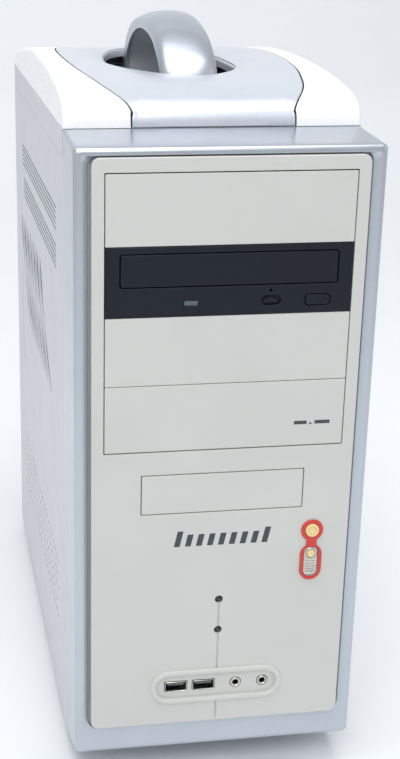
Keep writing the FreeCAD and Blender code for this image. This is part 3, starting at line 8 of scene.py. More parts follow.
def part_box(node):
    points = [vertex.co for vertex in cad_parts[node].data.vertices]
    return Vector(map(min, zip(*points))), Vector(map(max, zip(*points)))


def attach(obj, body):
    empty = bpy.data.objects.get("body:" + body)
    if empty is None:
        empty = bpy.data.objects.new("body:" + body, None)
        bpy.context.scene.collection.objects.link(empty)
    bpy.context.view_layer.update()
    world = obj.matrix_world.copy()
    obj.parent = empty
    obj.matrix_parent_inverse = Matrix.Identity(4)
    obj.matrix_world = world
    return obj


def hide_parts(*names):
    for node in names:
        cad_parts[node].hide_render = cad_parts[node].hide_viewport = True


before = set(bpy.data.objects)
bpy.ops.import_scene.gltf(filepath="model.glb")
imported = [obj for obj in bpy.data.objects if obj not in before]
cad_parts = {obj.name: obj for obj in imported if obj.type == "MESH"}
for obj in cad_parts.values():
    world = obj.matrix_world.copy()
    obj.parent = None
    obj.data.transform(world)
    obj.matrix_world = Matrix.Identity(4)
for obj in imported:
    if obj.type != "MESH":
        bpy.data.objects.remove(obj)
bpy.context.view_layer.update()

bl_info = {
    "name": "Desktop computer tower",
    "version": (1, 0, 0),
    "blender": (4, 5, 0),
    "location": "View3D > Sidebar > Tower",
    "description": "Builds the tower's visible pieces round its design frame",
    "category": "Add Mesh",
}

MM = 0.001
QUARTER = math.pi / 2
SHARP_ANGLE = math.radians(32)

# ---------------------------------------------------------------- places read from the design frame
FRAME_LOW, FRAME_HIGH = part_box("bezel_frame")
TOP_BLANK_LOW, TOP_BLANK_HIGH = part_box("bay_blank_top")
COVER_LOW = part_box("top_cover")[0]
FACE_Y = TOP_BLANK_LOW.y
BAY_GAP = 0.3 * MM               # between neighbouring bay covers
BAYS_TOP = TOP_BLANK_HIGH.z + BAY_GAP / 2
HALF_WIDTH = FRAME_HIGH.x
BACK_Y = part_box("left_side_panel")[1].y


def middle_of(node):
    """The middle of a design node's box."""
    low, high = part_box(node)
    return (low + high) / 2


# ---------------------------------------------------------------- sizes that several pieces share
FACE_WIDTH, FACE_HEIGHT, FACE_CORNER = 163.8 * MM, 369.3 * MM, 5.0 * MM
FACE_MIDDLE = BAYS_TOP - 175.65 * MM
FACE_BACK = FACE_Y + 3 * MM
FACE_GROOVE = 1.6 * MM           # the dark groove between the face plate and the frame
FRAME_DROP, FRAME_RISE = 378.7 * MM, 14.2 * MM      # the frame's front edges below and above the bays' top
BAY_WIDTH, BAY_PITCH, BAY_COUNT = 148 * MM, 42.3 * MM, 4
FLOPPY_WIDTH, FLOPPY_HEIGHT = 101.6 * MM, 25.4 * MM
COVER_PLAY = 1 * MM              # how much larger the face plate's openings are than their covers
POWER_HOLE = 4.7 * MM
INSERT_HOLE = (9.4 * MM, 20.2 * MM)
SHEET = 1 * MM                   # the side panels' folded edges
WALL = 1.6 * MM                  # of the top's two mouldings
FULL_TURN = (0.0, 0.0, 2 * math.pi)
FRONT_AXIS = (0, 1, 0)           # from the front to the back
LYING = Matrix(((1, 0, 0, 0), (0, 0, 1, 0), (0, -1, 0, 0), (0, 0, 0, 1)))      # turns +Z to the back


# ---------------------------------------------------------------- sizes and colours a user may change
class TowerShellSizes(bpy.types.PropertyGroup):
    frame_edge: bpy.props.FloatProperty(
        name="Frame edge", description="Radius of the silver frame's outer edge",
        default=3.0 * MM, unit="LENGTH", min=0.5 * MM, max=6 * MM)
    frame_slope: bpy.props.FloatProperty(
        name="Frame slope", description="How much deeper the frame's band lies at its inner edge",
        default=2.0 * MM, unit="LENGTH", min=0.0, max=4 * MM)
    plate_edge: bpy.props.FloatProperty(
        name="Plate edge", description="Rounding of the moulded front pieces' edges",
        default=0.55 * MM, unit="LENGTH", min=0.1 * MM, max=1.2 * MM)
    fold_edge: bpy.props.FloatProperty(
        name="Fold radius", description="Rounding of the folded sheet-metal edges",
        default=0.4 * MM, unit="LENGTH", min=0.1 * MM, max=0.5 * MM)
    dish_depth: bpy.props.FloatProperty(
        name="Dish depth", description="Depth of the bowl round the carry handle at the oval's edge",
        default=6.5 * MM, unit="LENGTH", min=2 * MM, max=12 * MM)
    groove: bpy.props.FloatProperty(
        name="Seam width", description="Width of the seam between the centre panel and the white cover",
        default=0.9 * MM, unit="LENGTH", min=0.3 * MM, max=2 * MM)


class TowerColours(bpy.types.PropertyGroup):
    lacquer: bpy.props.StringProperty(name="Silver lacquer", description="sRGB hex", default="#BAC0C9")
    # A paler, less metallic copy of the silver lacquer for the top's centre panel: painted light.
    painted_lit_silver: bpy.props.StringProperty(name="Silver lacquer painted lighter", description="sRGB hex", default="#D0D5DE")
    face: bpy.props.StringProperty(name="Face plastic", description="sRGB hex", default="#C7C8C4")
    cover: bpy.props.StringProperty(name="Cover plastic", description="sRGB hex", default="#F3F4F6")
    drive: bpy.props.StringProperty(name="Drive plastic", description="sRGB hex", default="#0D1420")
    coat: bpy.props.StringProperty(name="Powder coat", description="sRGB hex", default="#CDCFD3")
    red: bpy.props.StringProperty(name="Switch surround", description="sRGB hex", default="#C8281C")
    cream: bpy.props.StringProperty(name="Buttons", description="sRGB hex", default="#E8CE96")
    ink: bpy.props.StringProperty(name="Printed ink", description="sRGB hex", default="#3B414A")


class TowerStageSizes(bpy.types.PropertyGroup):
    lens: bpy.props.FloatProperty(name="Lens", description="Focal length in millimetres", default=66.44)
    azimuth: bpy.props.FloatProperty(
        name="Camera azimuth", description="Turn of the view to the left of straight on",
        default=math.radians(-9.55), subtype="ANGLE")
    elevation: bpy.props.FloatProperty(
        name="Camera elevation", description="How far the camera looks down",
        default=math.radians(19.88), subtype="ANGLE")
    roll: bpy.props.FloatProperty(
        name="Camera roll", description="Tilt of the camera about its own axis",
        default=math.radians(0.76), subtype="ANGLE")
    place: bpy.props.FloatVectorProperty(
        name="Camera place", description="Where the camera stands, from the top of the bays' front edge",
        default=(-0.1834, -0.7776, 0.1417), subtype="TRANSLATION", size=3)
    shift: bpy.props.FloatVectorProperty(
        name="Lens shift", description="Framing shift across and up", default=(0.0791, 0.044), size=2)


# ---------------------------------------------------------------- colour and shader helpers
def linear(text):
    """An sRGB hex colour as linear red, green, blue and alpha."""
    parts = [int(text[at:at + 2], 16) / 255 for at in (1, 3, 5)]
    made = [part / 12.92 if part <= 0.04045 else ((part + 0.055) / 1.055) ** 2.4 for part in parts]
    return (*made, 1.0)


def add(tree, kind, settings=None, inputs=None):
    """Adds one node: its settings, then its inputs by name or number, each a value or a socket to link."""
    made = tree.nodes.new(kind)
    for key, value in (settings or {}).items():
        setattr(made, key, value)
    for key, value in (inputs or {}).items():
        if isinstance(value, bpy.types.NodeSocket):
            tree.links.new(value, made.inputs[key])
        else:
            made.inputs[key].default_value = value
    return made


def new_surface(name):
    """An empty material: its tree, its shader and the Object coordinates every pattern reads."""
    made = bpy.data.materials.new(name)
    made.use_nodes = True
    tree = made.node_tree
    tree.nodes.clear()
    shader = add(tree, "ShaderNodeBsdfPrincipled")
    add(tree, "ShaderNodeOutputMaterial", None, {"Surface": shader.outputs["BSDF"]})
    place = add(tree, "ShaderNodeTexCoord").outputs["Object"]
    return made, tree, shader, place


def noise(tree, place, feature, detail=3.0, rough=0.5, stretch=None):
    """Noise whose features are about the given size in metres, stretched along an axis if asked."""
    if stretch:
        place = add(tree, "ShaderNodeMapping", None, {"Vector": place, "Scale": stretch}).outputs["Vector"]
    return add(tree, "ShaderNodeTexNoise", None, {
        "Vector": place, "Scale": 1 / feature, "Detail": detail, "Roughness": rough}).outputs["Fac"]


def spread(tree, value, low, high, start=0.3, end=0.7):
    """Maps a pattern's usual range to the range from low to high."""
    return add(tree, "ShaderNodeMapRange", None, {
        "Value": value, "From Min": start, "From Max": end, "To Min": low, "To Max": high}).outputs["Result"]


def tint(tree, value, dark, light):
    """Two colours mixed by a pattern."""
    ramp = add(tree, "ShaderNodeValToRGB", None, {"Fac": value})
    ramp.color_ramp.elements[0].color = dark
    ramp.color_ramp.elements[0].position = 0.35
    ramp.color_ramp.elements[1].color = light
    ramp.color_ramp.elements[1].position = 0.65
    return ramp.outputs["Color"]


def shade_of(text, factor):
    """A colour made lighter or darker, as linear values."""
    red, green, blue, alpha = linear(text)
    return (min(red * factor, 1.0), min(green * factor, 1.0), min(blue * factor, 1.0), alpha)


def bump(tree, height, depth):
    """A surface normal that a pattern raises by up to a depth in metres."""
    return add(tree, "ShaderNodeBump", None, {
        "Height": height, "Distance": depth, "Strength": 1.0}).outputs["Normal"]


def moulded(name, text, roughness, grain, depth, variation=0.03, coat=0.0, metallic=0.0, ior=1.53):
    """A moulded or painted surface: colour drift, texture bump and uneven gloss at real sizes."""
    made, tree, shader, place = new_surface(name)
    drift = noise(tree, place, 60 * MM, 2.0)
    colour = tint(tree, drift, shade_of(text, 1 - variation), shade_of(text, 1 + variation / 2))
    tree.links.new(colour, shader.inputs["Base Color"])
    smudge = spread(tree, noise(tree, place, 22 * MM, 4.0), roughness - 0.04, roughness + 0.06)
    tree.links.new(smudge, shader.inputs["Roughness"])
    texture = noise(tree, place, grain, 2.0)
    tree.links.new(bump(tree, texture, depth), shader.inputs["Normal"])
    shader.inputs["Metallic"].default_value = metallic
    if not metallic:
        shader.inputs["IOR"].default_value = ior
    if coat:
        shader.inputs["Coat Weight"].default_value = coat
        shader.inputs["Coat Roughness"].default_value = 0.08
    return made


def colours():
    """The colours in the scene's settings."""
    return bpy.context.scene.tower_colours


# ---------------------------------------------------------------- the materials, each for a real finish
def lacquered(name, text, metallic, roughness):
    """A metallic lacquer: fine flakes under a satin clear coat, each flake a little lighter or darker at
    random as painted sparkle.
    """
    made, tree, shader, place = new_surface(name)
    # Real flakes are about 0.05 mm; these are drawn at 0.9 mm so that their painted sparkle shows.
    flakes = add(tree, "ShaderNodeTexVoronoi", None, {"Vector": place, "Scale": 1 / (0.9 * MM)})
    glint = add(tree, "ShaderNodeSeparateColor", None, {"Color": flakes.outputs["Color"]}).outputs["Red"]
    painted_flake_glint = spread(tree, glint, 0.975, 1.02, 0.0, 1.0)
    drift = spread(tree, noise(tree, place, 70 * MM, 2.0), 0.97, 1.02)
    tone = add(tree, "ShaderNodeMath", {"operation": "MULTIPLY"}, {0: painted_flake_glint, 1: drift}).outputs["Value"]
    colour = add(tree, "ShaderNodeVectorMath", {"operation": "SCALE"}, {
        0: linear(text)[:3], "Scale": tone}).outputs["Vector"]
    tree.links.new(colour, shader.inputs["Base Color"])
    shader.inputs["Metallic"].default_value = metallic
    gloss = spread(tree, noise(tree, place, 18 * MM, 4.0), roughness - 0.03, roughness + 0.03)
    tree.links.new(gloss, shader.inputs["Roughness"])
    tree.links.new(bump(tree, noise(tree, place, 1.6 * MM, 2.0), 0.003 * MM), shader.inputs["Normal"])
    shader.inputs["Coat Weight"].default_value = 0.25
    shader.inputs["Coat Roughness"].default_value = 0.12
    return made


def silver_lacquer():
    """Silver lacquer on the front frame and the handle: a cool grey with long soft reflections."""
    return lacquered("Silver metallic lacquer on ABS", colours().lacquer, 0.8, 0.33)


def lit_silver_copy():
    """Paler, less metallic copy of the silver lacquer on the top's centre panel, nearly white: painted light
    where the light falls on it.
    """
    return lacquered("Silver lacquer on ABS, painted lighter", colours().painted_lit_silver, 0.4, 0.36)


def grey_abs():
    """Light grey ABS from a spark-eroded mould: an even satin with a fine sandy texture."""
    # The real texture is about 0.2 mm; it is drawn at 0.8 mm so that it shows.
    return moulded("Spark-textured grey ABS", colours().face, 0.46, 0.8 * MM, 0.03 * MM, 0.02)


def white_abs():
    """Polished white ABS: a clean soft gloss, with only the faintest waviness."""
    return moulded("Glossy white ABS", colours().cover, 0.26, 14 * MM, 0.02 * MM, 0.012, coat=0.3)


def black_abs():
    """Blue-black ABS of the drive: a fine texture that greys a little where the light grazes it."""
    return moulded("Textured black ABS", colours().drive, 0.42, 0.7 * MM, 0.03 * MM, 0.12, ior=1.36)


def charcoal_and_well_shade():
    """Unpainted charcoal ABS, dull and slightly uneven; inside the handle's well its dark colour is painted
    shade of the deep recess.
    """
    return moulded("Charcoal ABS", "#565B5F", 0.58, 0.9 * MM, 0.03 * MM, 0.1)


def underside_painted_light():
    """Grey plastic on the handle's underside, set to how bright that shaded face looks: painted light and
    shade.
    """
    return moulded("Grey ABS painted for the handle's shaded underside", "#DADEE2", 0.5, 0.9 * MM, 0.03 * MM, 0.08)


def red_plastic():
    """Glossy red polycarbonate: strong colour under a sharp highlight."""
    return moulded("Glossy red polycarbonate", colours().red, 0.22, 6 * MM, 0.01 * MM, 0.05, coat=0.4)


def cream_plastic():
    """Gold-cream button plastic, softly polished by fingers."""
    return moulded("Gold-cream ABS", colours().cream, 0.3, 3 * MM, 0.01 * MM, 0.05, coat=0.2)


def powder_coat():
    """Light grey powder coat on steel: orange peel about two millimetres across, satin sheen."""
    return moulded("Powder-coated steel", colours().coat, 0.44, 2.0 * MM, 0.035 * MM, 0.02)


def galvanised():
    """Hot-dip zinc on sheet steel: pale angular spangles a few millimetres wide, each with its own gloss."""
    made, tree, shader, place = new_surface("Galvanised sheet steel")
    cells = add(tree, "ShaderNodeTexVoronoi", None, {"Vector": place, "Scale": 1 / (7 * MM)})
    spangle = add(tree, "ShaderNodeSeparateColor", None, {"Color": cells.outputs["Color"]}).outputs["Red"]
    tree.links.new(tint(tree, spangle, linear("#B4B8BB"), linear("#C6C9CC")), shader.inputs["Base Color"])
    tree.links.new(spread(tree, spangle, 0.42, 0.5, 0.0, 1.0), shader.inputs["Roughness"])
    rolling = noise(tree, place, 1.2 * MM, 2.0, 0.5, (1.0, 0.05, 1.0))
    tree.links.new(bump(tree, rolling, 0.006 * MM), shader.inputs["Normal"])
    shader.inputs["Metallic"].default_value = 1.0
    return made


def nickel():
    """Bright nickel plate on turned steel: warm, sharp reflections with faint lathe lines."""
    made, tree, shader, place = new_surface("Nickel-plated steel")
    lines = noise(tree, place, 0.5 * MM, 2.0, 0.5, (1.0, 6.0, 1.0))
    tree.links.new(tint(tree, noise(tree, place, 8 * MM), linear("#B9B6AF"), linear("#CFCCC5")),
                   shader.inputs["Base Color"])
    tree.links.new(spread(tree, lines, 0.2, 0.32), shader.inputs["Roughness"])
    tree.links.new(bump(tree, lines, 0.006 * MM), shader.inputs["Normal"])
    shader.inputs["Metallic"].default_value = 1.0
    return made


def smoked_lens():
    """Smoke-grey acrylic over an unlit lamp: almost black, with a hard bright glint."""
    return moulded("Smoked acrylic", "#14181D", 0.1, 5 * MM, 0.004 * MM, 0.1, coat=0.6, ior=1.49)


def lamp_grey():
    """Milky grey acrylic of the drive's lamp window, unlit."""
    return moulded("Milky grey acrylic", "#565E69", 0.3, 4 * MM, 0.004 * MM, 0.06, ior=1.49)


def soft_rubber():
    """Moulded black rubber: dull, with a little random unevenness of tone."""
    return moulded("Moulded rubber", "#1B1B1C", 0.75, 1.1 * MM, 0.05 * MM, 0.2)


def fan_black():
    """Glass-filled black plastic of the fans: matt, with faint flow marks."""
    made, tree, shader, place = new_surface("Glass-filled black plastic")
    marks = noise(tree, place, 3 * MM, 4.0, 0.6, (1.0, 1.0, 0.3))
    tree.links.new(tint(tree, marks, linear("#121315"), linear("#1F2124")), shader.inputs["Base Color"])
    tree.links.new(spread(tree, marks, 0.42, 0.56), shader.inputs["Roughness"])
    tree.links.new(bump(tree, noise(tree, place, 0.7 * MM), 0.02 * MM), shader.inputs["Normal"])
    shader.inputs["IOR"].default_value = 1.53
    return made


def solder_mask():
    """Green solder mask over copper: darker laminate with slightly raised, lighter tracks."""
    made, tree, shader, place = new_surface("Green solder mask")
    # Real tracks are 0.2 mm apart; these are drawn at 2 mm so that they show.
    tracks = add(tree, "ShaderNodeTexBrick", {"offset": 0.37, "squash": 1.0}, {
        "Vector": add(tree, "ShaderNodeMapping", None, {
            "Vector": place, "Rotation": (0.0, QUARTER, 0.0)}).outputs["Vector"],
        "Scale": 1.0, "Mortar Size": 0.35 * MM, "Brick Width": 21 * MM, "Row Height": 2 * MM}).outputs["Fac"]
    patches = spread(tree, noise(tree, place, 16 * MM, 3.0), 0.0, 1.0, 0.45, 0.55)
    seen = add(tree, "ShaderNodeMath", {"operation": "MULTIPLY"}, {0: tracks, 1: patches}).outputs["Value"]
    tree.links.new(tint(tree, seen, linear("#0F4A2B"), linear("#2C7A48")), shader.inputs["Base Color"])
    tree.links.new(bump(tree, seen, 0.05 * MM), shader.inputs["Normal"])
    shader.inputs["Roughness"].default_value = 0.34
    shader.inputs["Coat Weight"].default_value = 0.3
    return made


def connector_plastic():
    """Ivory nylon of sockets and headers: matt, slightly yellowed in places."""
    return moulded("Ivory nylon", "#D8D2BF", 0.5, 1.2 * MM, 0.02 * MM, 0.06)


def aluminium():
    """Milled and extruded aluminium: pale, with fine straight tool lines."""
    made, tree, shader, place = new_surface("Extruded aluminium")
    lines = noise(tree, place, 0.6 * MM, 3.0, 0.6, (1.0, 1.0, 0.03))
    tree.links.new(tint(tree, lines, linear("#B4B6B8"), linear("#D2D4D6")), shader.inputs["Base Color"])
    tree.links.new(spread(tree, lines, 0.28, 0.42), shader.inputs["Roughness"])
    tree.links.new(bump(tree, lines, 0.01 * MM), shader.inputs["Normal"])
    shader.inputs["Metallic"].default_value = 1.0
    return made


def printed_ink():
    """Screen-printed slate ink: flat and matt, thin enough to show the paint's texture."""
    made, tree, shader, place = new_surface("Screen-printed slate ink")
    cover = noise(tree, place, 1.5 * MM, 3.0)
    tree.links.new(tint(tree, cover, shade_of(colours().ink, 0.85), shade_of(colours().ink, 1.25)),
                   shader.inputs["Base Color"])
    tree.links.new(spread(tree, cover, 0.48, 0.6), shader.inputs["Roughness"])
    tree.links.new(bump(tree, noise(tree, place, 2 * MM), 0.02 * MM), shader.inputs["Normal"])
    shader.inputs["IOR"].default_value = 1.5
    return made


def faded_ink():
    """The same ink laid as a thin grey tone, half covering the powder coat."""
    return moulded("Thin grey screen print", "#8F949A", 0.5, 2.0 * MM, 0.03 * MM, 0.06)


MAKERS = {}


def finish_named(maker):
    """A material made once and shared by every piece with that finish."""
    if maker not in MAKERS:
        MAKERS[maker] = maker()
    return MAKERS[maker]


# ---------------------------------------------------------------- outlines and meshes
def rounded_rect(width, height, radius, x=0.0, z=0.0, steps=6):
    """A counter-clockwise outline of a rectangle with rounded corners, as pairs."""
    points = []
    for corner, (sx, sz) in enumerate(((1, 1), (-1, 1), (-1, -1), (1, -1))):
        for step in range(steps + 1):
            turn = QUARTER * (corner + step / steps)
            points.append((x + sx * (width / 2 - radius) + radius * math.cos(turn),
                           z + sz * (height / 2 - radius) + radius * math.sin(turn)))
    return points


def circle(radius, x=0.0, z=0.0, count=32):
    """A round outline, as pairs."""
    turns = [2 * math.pi * at / count for at in range(count)]
    return [(x + radius * math.cos(turn), z + radius * math.sin(turn)) for turn in turns]


def smooth_line(points, count):
    """A Catmull-Rom curve through pairs of numbers, sampled evenly in its parameter."""
    first = (2 * points[0][0] - points[1][0], 2 * points[0][1] - points[1][1])
    last = (2 * points[-1][0] - points[-2][0], 2 * points[-1][1] - points[-2][1])
    ends = [first] + list(points) + [last]
    spans = len(points) - 1
    line = []
    for sample in range(count):
        along = sample / (count - 1) * spans
        span = min(int(along), spans - 1)
        t = along - span
        p0, p1, p2, p3 = ends[span:span + 4]
        line.append(tuple(0.5 * (2 * b + (c - a) * t + (2 * a - 5 * b + 4 * c - d) * t * t
                                 + (3 * b - a - 3 * c + d) * t ** 3)
                          for a, b, c, d in zip(p0, p1, p2, p3)))
    return line


def value_at(line, where):
    """The second number of a line of pairs at a given first number."""
    for (a0, b0), (a1, b1) in zip(line, line[1:]):
        if a0 <= where <= a1:
            return b0 + (b1 - b0) * (where - a0) / max(a1 - a0, 1e-12)
    return line[0][1] if where < line[0][0] else line[-1][1]


FLAT_AREA = 2 * MM * MM          # a square face larger than this is shaded flat
SQUARE = 0.99999                 # how nearly a square face's normal follows an axis


def finished_mesh(form, name):
    """Welds, turns every face outwards, shades smooth between sharp edges, and returns the mesh."""
    bmesh.ops.remove_doubles(form, verts=form.verts, dist=1e-6)
    bmesh.ops.dissolve_degenerate(form, edges=form.edges, dist=1e-7)
    bmesh.ops.recalc_face_normals(form, faces=form.faces)
    form.normal_update()
    for face in form.faces:
        squarest = max(abs(part) for part in face.normal)
        face.smooth = squarest < SQUARE or face.calc_area() < FLAT_AREA
    for edge in form.edges:
        edge.smooth = len(edge.link_faces) == 2 and edge.calc_face_angle(0.0) < SHARP_ANGLE
    mesh = bpy.data.meshes.new(name)
    form.to_mesh(mesh)
    form.free()
    return mesh


def loft(rings, wrap=False, caps=False):
    """A form whose closed rings of equal length are joined one to the next."""
    form = bmesh.new()
    rows = [[form.verts.new(point) for point in ring] for ring in rings]
    pairs = list(zip(rows, rows[1:])) + ([(rows[-1], rows[0])] if wrap else [])
    for low, high in pairs:
        for at in range(len(low)):
            after = (at + 1) % len(low)
            form.faces.new((low[at], low[after], high[after], high[at]))
    if caps:
        form.faces.new(rows[0][::-1])
        form.faces.new(rows[-1])
    return form


def lathe(profile, place, axis, count=40):
    """A closed form turned round an axis: profile is pairs of radius and distance along the axis."""
    turn = Vector((0, 0, 1)).rotation_difference(Vector(axis)).to_matrix()
    rings = []
    for radius, along in profile:
        rings.append([turn @ Vector((max(radius, 1e-7) * math.cos(2 * math.pi * at / count),
                                     max(radius, 1e-7) * math.sin(2 * math.pi * at / count), along))
                      + Vector(place) for at in range(count)])
    return loft(rings, caps=True)


def bar(low, high, edge=0.3 * MM, steps=2):
    """A block between two corners with rounded edges."""
    low, high = Vector(low), Vector(high)
    form = bmesh.new()
    bmesh.ops.create_cube(form, size=1.0)
    for vert in form.verts:
        vert.co = Vector(((low[k] + high[k]) / 2 + vert.co[k] * (high[k] - low[k]) for k in range(3)))
    room = min(high - low) / 2
    bmesh.ops.bevel(form, geom=form.edges[:] + form.verts[:], offset=min(edge, room * 0.9), segments=steps,
                    profile=0.5, affect="EDGES", clamp_overlap=True)
    return form


FRONT_TURN = Matrix(((1, 0, 0), (0, 0, -1), (0, 1, 0)))      # outline across and up, thickness forwards
SIDE_TURN = Matrix(((0, 0, 1), (1, 0, 0), (0, 1, 0)))        # outline back and up, thickness to the right


def cut_plate(outline, holes, near, far, edge, turn=FRONT_TURN):
    """A flat plate with any outline and holes, its edges all rounded, between two depths."""
    data = bpy.data.curves.new("outline", "CURVE")
    data.dimensions = "2D"
    data.fill_mode = "BOTH"
    for loop in [outline] + list(holes):
        spline = data.splines.new("POLY")
        spline.points.add(len(loop) - 1)
        for point, (u, v) in zip(spline.points, loop):
            point.co = (u, v, 0.0, 1.0)
        spline.use_cyclic_u = True
    thickness = abs(far - near)
    edge = min(edge, thickness * 0.48)
    data.extrude = thickness / 2 - edge
    data.bevel_depth = edge
    data.bevel_resolution = 2
    data.offset = -edge
    holder = bpy.data.objects.new("outline", data)
    bpy.context.scene.collection.objects.link(holder)
    bpy.context.view_layer.update()
    mesh = bpy.data.meshes.new_from_object(holder.evaluated_get(bpy.context.evaluated_depsgraph_get()))
    bpy.data.objects.remove(holder)
    bpy.data.curves.remove(data)
    form = bmesh.new()
    form.from_mesh(mesh)
    bpy.data.meshes.remove(mesh)
    depth_axis = turn @ Vector((0, 0, 1))
    middle = (near + far) / 2
    for vert in form.verts:
        vert.co = turn @ vert.co + middle * Vector((abs(depth_axis.x), abs(depth_axis.y), abs(depth_axis.z)))
    return form


def joined(forms, name):
    """Several forms as one finished mesh, each kept as its own closed shell."""
    whole = bmesh.new()
    for form in forms:
        part = finished_mesh(form, "part")
        whole.from_mesh(part)
        bpy.data.meshes.remove(part)
    mesh = bpy.data.meshes.new(name)
    whole.to_mesh(mesh)
    whole.free()
    return mesh


def piece(name, forms, maker, body, slot, *nodes):
    """Puts a piece made of forms in the scene, on its body, in place of its design nodes."""
    mesh = joined(forms, name)
    made = bpy.data.objects.new(name, mesh)
    bpy.context.scene.collection.objects.link(made)
    spots = [face.material_index for face in mesh.polygons]
    mesh.materials.clear()
    finishes = maker if isinstance(maker, tuple) else (maker,)
    for finish in finishes:
        mesh.materials.append(finish_named(finish))
    for face, spot in zip(mesh.polygons, spots):
        face.material_index = spot if spot < len(finishes) else 0
    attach(made, body)
    if nodes:
        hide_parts(*nodes)
    return made


def dress(node, maker):
    """Gives a design node that keeps its own shape its real finish."""
    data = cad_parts[node].data
    data.materials.clear()
    data.materials.append(finish_named(maker))


# ---------------------------------------------------------------- Geometry Nodes trees
def tree_with(name, sockets):
    """A new geometry tree with named inputs, its input node and its output node."""
    tree = bpy.data.node_groups.new(name, "GeometryNodeTree")
    tree.interface.new_socket("Geometry", in_out="OUTPUT", socket_type="NodeSocketGeometry")
    tree.interface.new_socket("Geometry", in_out="INPUT", socket_type="NodeSocketGeometry")
    for label, kind in sockets:
        tree.interface.new_socket(label, in_out="INPUT", socket_type=kind)
    return tree, add(tree, "NodeGroupInput"), add(tree, "NodeGroupOutput")


def end_tree(tree, source, group_in, group_out):
    """Realizes the instances and sets the material, as every tree here ends."""
    real = add(tree, "GeometryNodeRealizeInstances", None, {"Geometry": source})
    coloured = add(tree, "GeometryNodeSetMaterial", None, {
        "Geometry": real.outputs["Geometry"], "Material": group_in.outputs["Material"]})
    tree.links.new(coloured.outputs["Geometry"], group_out.inputs["Geometry"])
    return tree


def ring_tree():
    """Copies of a piece spaced evenly round an axis through the origin."""
    tree, group_in, group_out = tree_with("Pieces in a ring", [
        ("Count", "NodeSocketInt"), ("Turn", "NodeSocketVector"), ("Material", "NodeSocketMaterial")])
    points = add(tree, "GeometryNodeMeshLine", None, {
        "Count": group_in.outputs["Count"], "Offset": (0.0, 0.0, 0.0)})
    index = add(tree, "GeometryNodeInputIndex").outputs["Index"]
    share = add(tree, "ShaderNodeMath", {"operation": "DIVIDE"}, {0: index, 1: group_in.outputs["Count"]})
    turn = add(tree, "ShaderNodeVectorMath", {"operation": "SCALE"}, {
        0: group_in.outputs["Turn"], "Scale": share.outputs["Value"]})
    copies = add(tree, "GeometryNodeInstanceOnPoints", None, {
        "Points": points.outputs["Mesh"], "Instance": group_in.outputs["Geometry"],
        "Rotation": turn.outputs["Vector"]})
    return end_tree(tree, copies.outputs["Instances"], group_in, group_out)


def wire_tree():
    """Round wire rings, one inside the next, with straight spokes: a fan grille."""
    tree, group_in, group_out = tree_with("Wire rings", [
        ("Rings", "NodeSocketInt"), ("Smallest", "NodeSocketFloat"), ("Step", "NodeSocketFloat"),
        ("Wire", "NodeSocketFloat"), ("Spokes", "NodeSocketInt"), ("Material", "NodeSocketMaterial")])
    points = add(tree, "GeometryNodeMeshLine", None, {
        "Count": group_in.outputs["Rings"], "Offset": (0.0, 0.0, 0.0)})
    index = add(tree, "GeometryNodeInputIndex").outputs["Index"]
    radius = add(tree, "ShaderNodeMath", {"operation": "MULTIPLY_ADD"}, {
        0: index, 1: group_in.outputs["Step"], 2: group_in.outputs["Smallest"]}).outputs["Value"]
    unit = add(tree, "GeometryNodeCurvePrimitiveCircle", None, {"Resolution": 72, "Radius": 1.0})
    rings = add(tree, "GeometryNodeInstanceOnPoints", None, {
        "Points": points.outputs["Mesh"], "Instance": unit.outputs["Curve"], "Scale": radius})
    loops = add(tree, "GeometryNodeRealizeInstances", None, {"Geometry": rings.outputs["Instances"]})
    reach = add(tree, "ShaderNodeMath", {"operation": "MULTIPLY_ADD"}, {
        0: group_in.outputs["Rings"], 1: group_in.outputs["Step"],
        2: group_in.outputs["Smallest"]}).outputs["Value"]
    far = add(tree, "ShaderNodeCombineXYZ", None, {"X": reach}).outputs["Vector"]
    spoke = add(tree, "GeometryNodeCurvePrimitiveLine", None, {"End": far})
    spots = add(tree, "GeometryNodeMeshLine", None, {
        "Count": group_in.outputs["Spokes"], "Offset": (0.0, 0.0, 0.0)})
    share = add(tree, "ShaderNodeMath", {"operation": "DIVIDE"}, {
        0: index, 1: group_in.outputs["Spokes"]}).outputs["Value"]
    angle = add(tree, "ShaderNodeMath", {"operation": "MULTIPLY_ADD"}, {
        0: share, 1: 2 * math.pi, 2: math.pi / 4}).outputs["Value"]
    turn = add(tree, "ShaderNodeCombineXYZ", None, {"Z": angle}).outputs["Vector"]
    spokes = add(tree, "GeometryNodeInstanceOnPoints", None, {
        "Points": spots.outputs["Mesh"], "Instance": spoke.outputs["Curve"], "Rotation": turn})
    both = add(tree, "GeometryNodeJoinGeometry")
    for source in (loops.outputs["Geometry"], spokes.outputs["Instances"]):
        tree.links.new(source, both.inputs["Geometry"])
    real = add(tree, "GeometryNodeRealizeInstances", None, {"Geometry": both.outputs["Geometry"]})
    section = add(tree, "GeometryNodeCurvePrimitiveCircle", None, {
        "Resolution": 10, "Radius": group_in.outputs["Wire"]})
    wires = add(tree, "GeometryNodeCurveToMesh", None, {
        "Curve": real.outputs["Geometry"], "Profile Curve": section.outputs["Curve"], "Fill Caps": True})
    return end_tree(tree, wires.outputs["Mesh"], group_in, group_out)


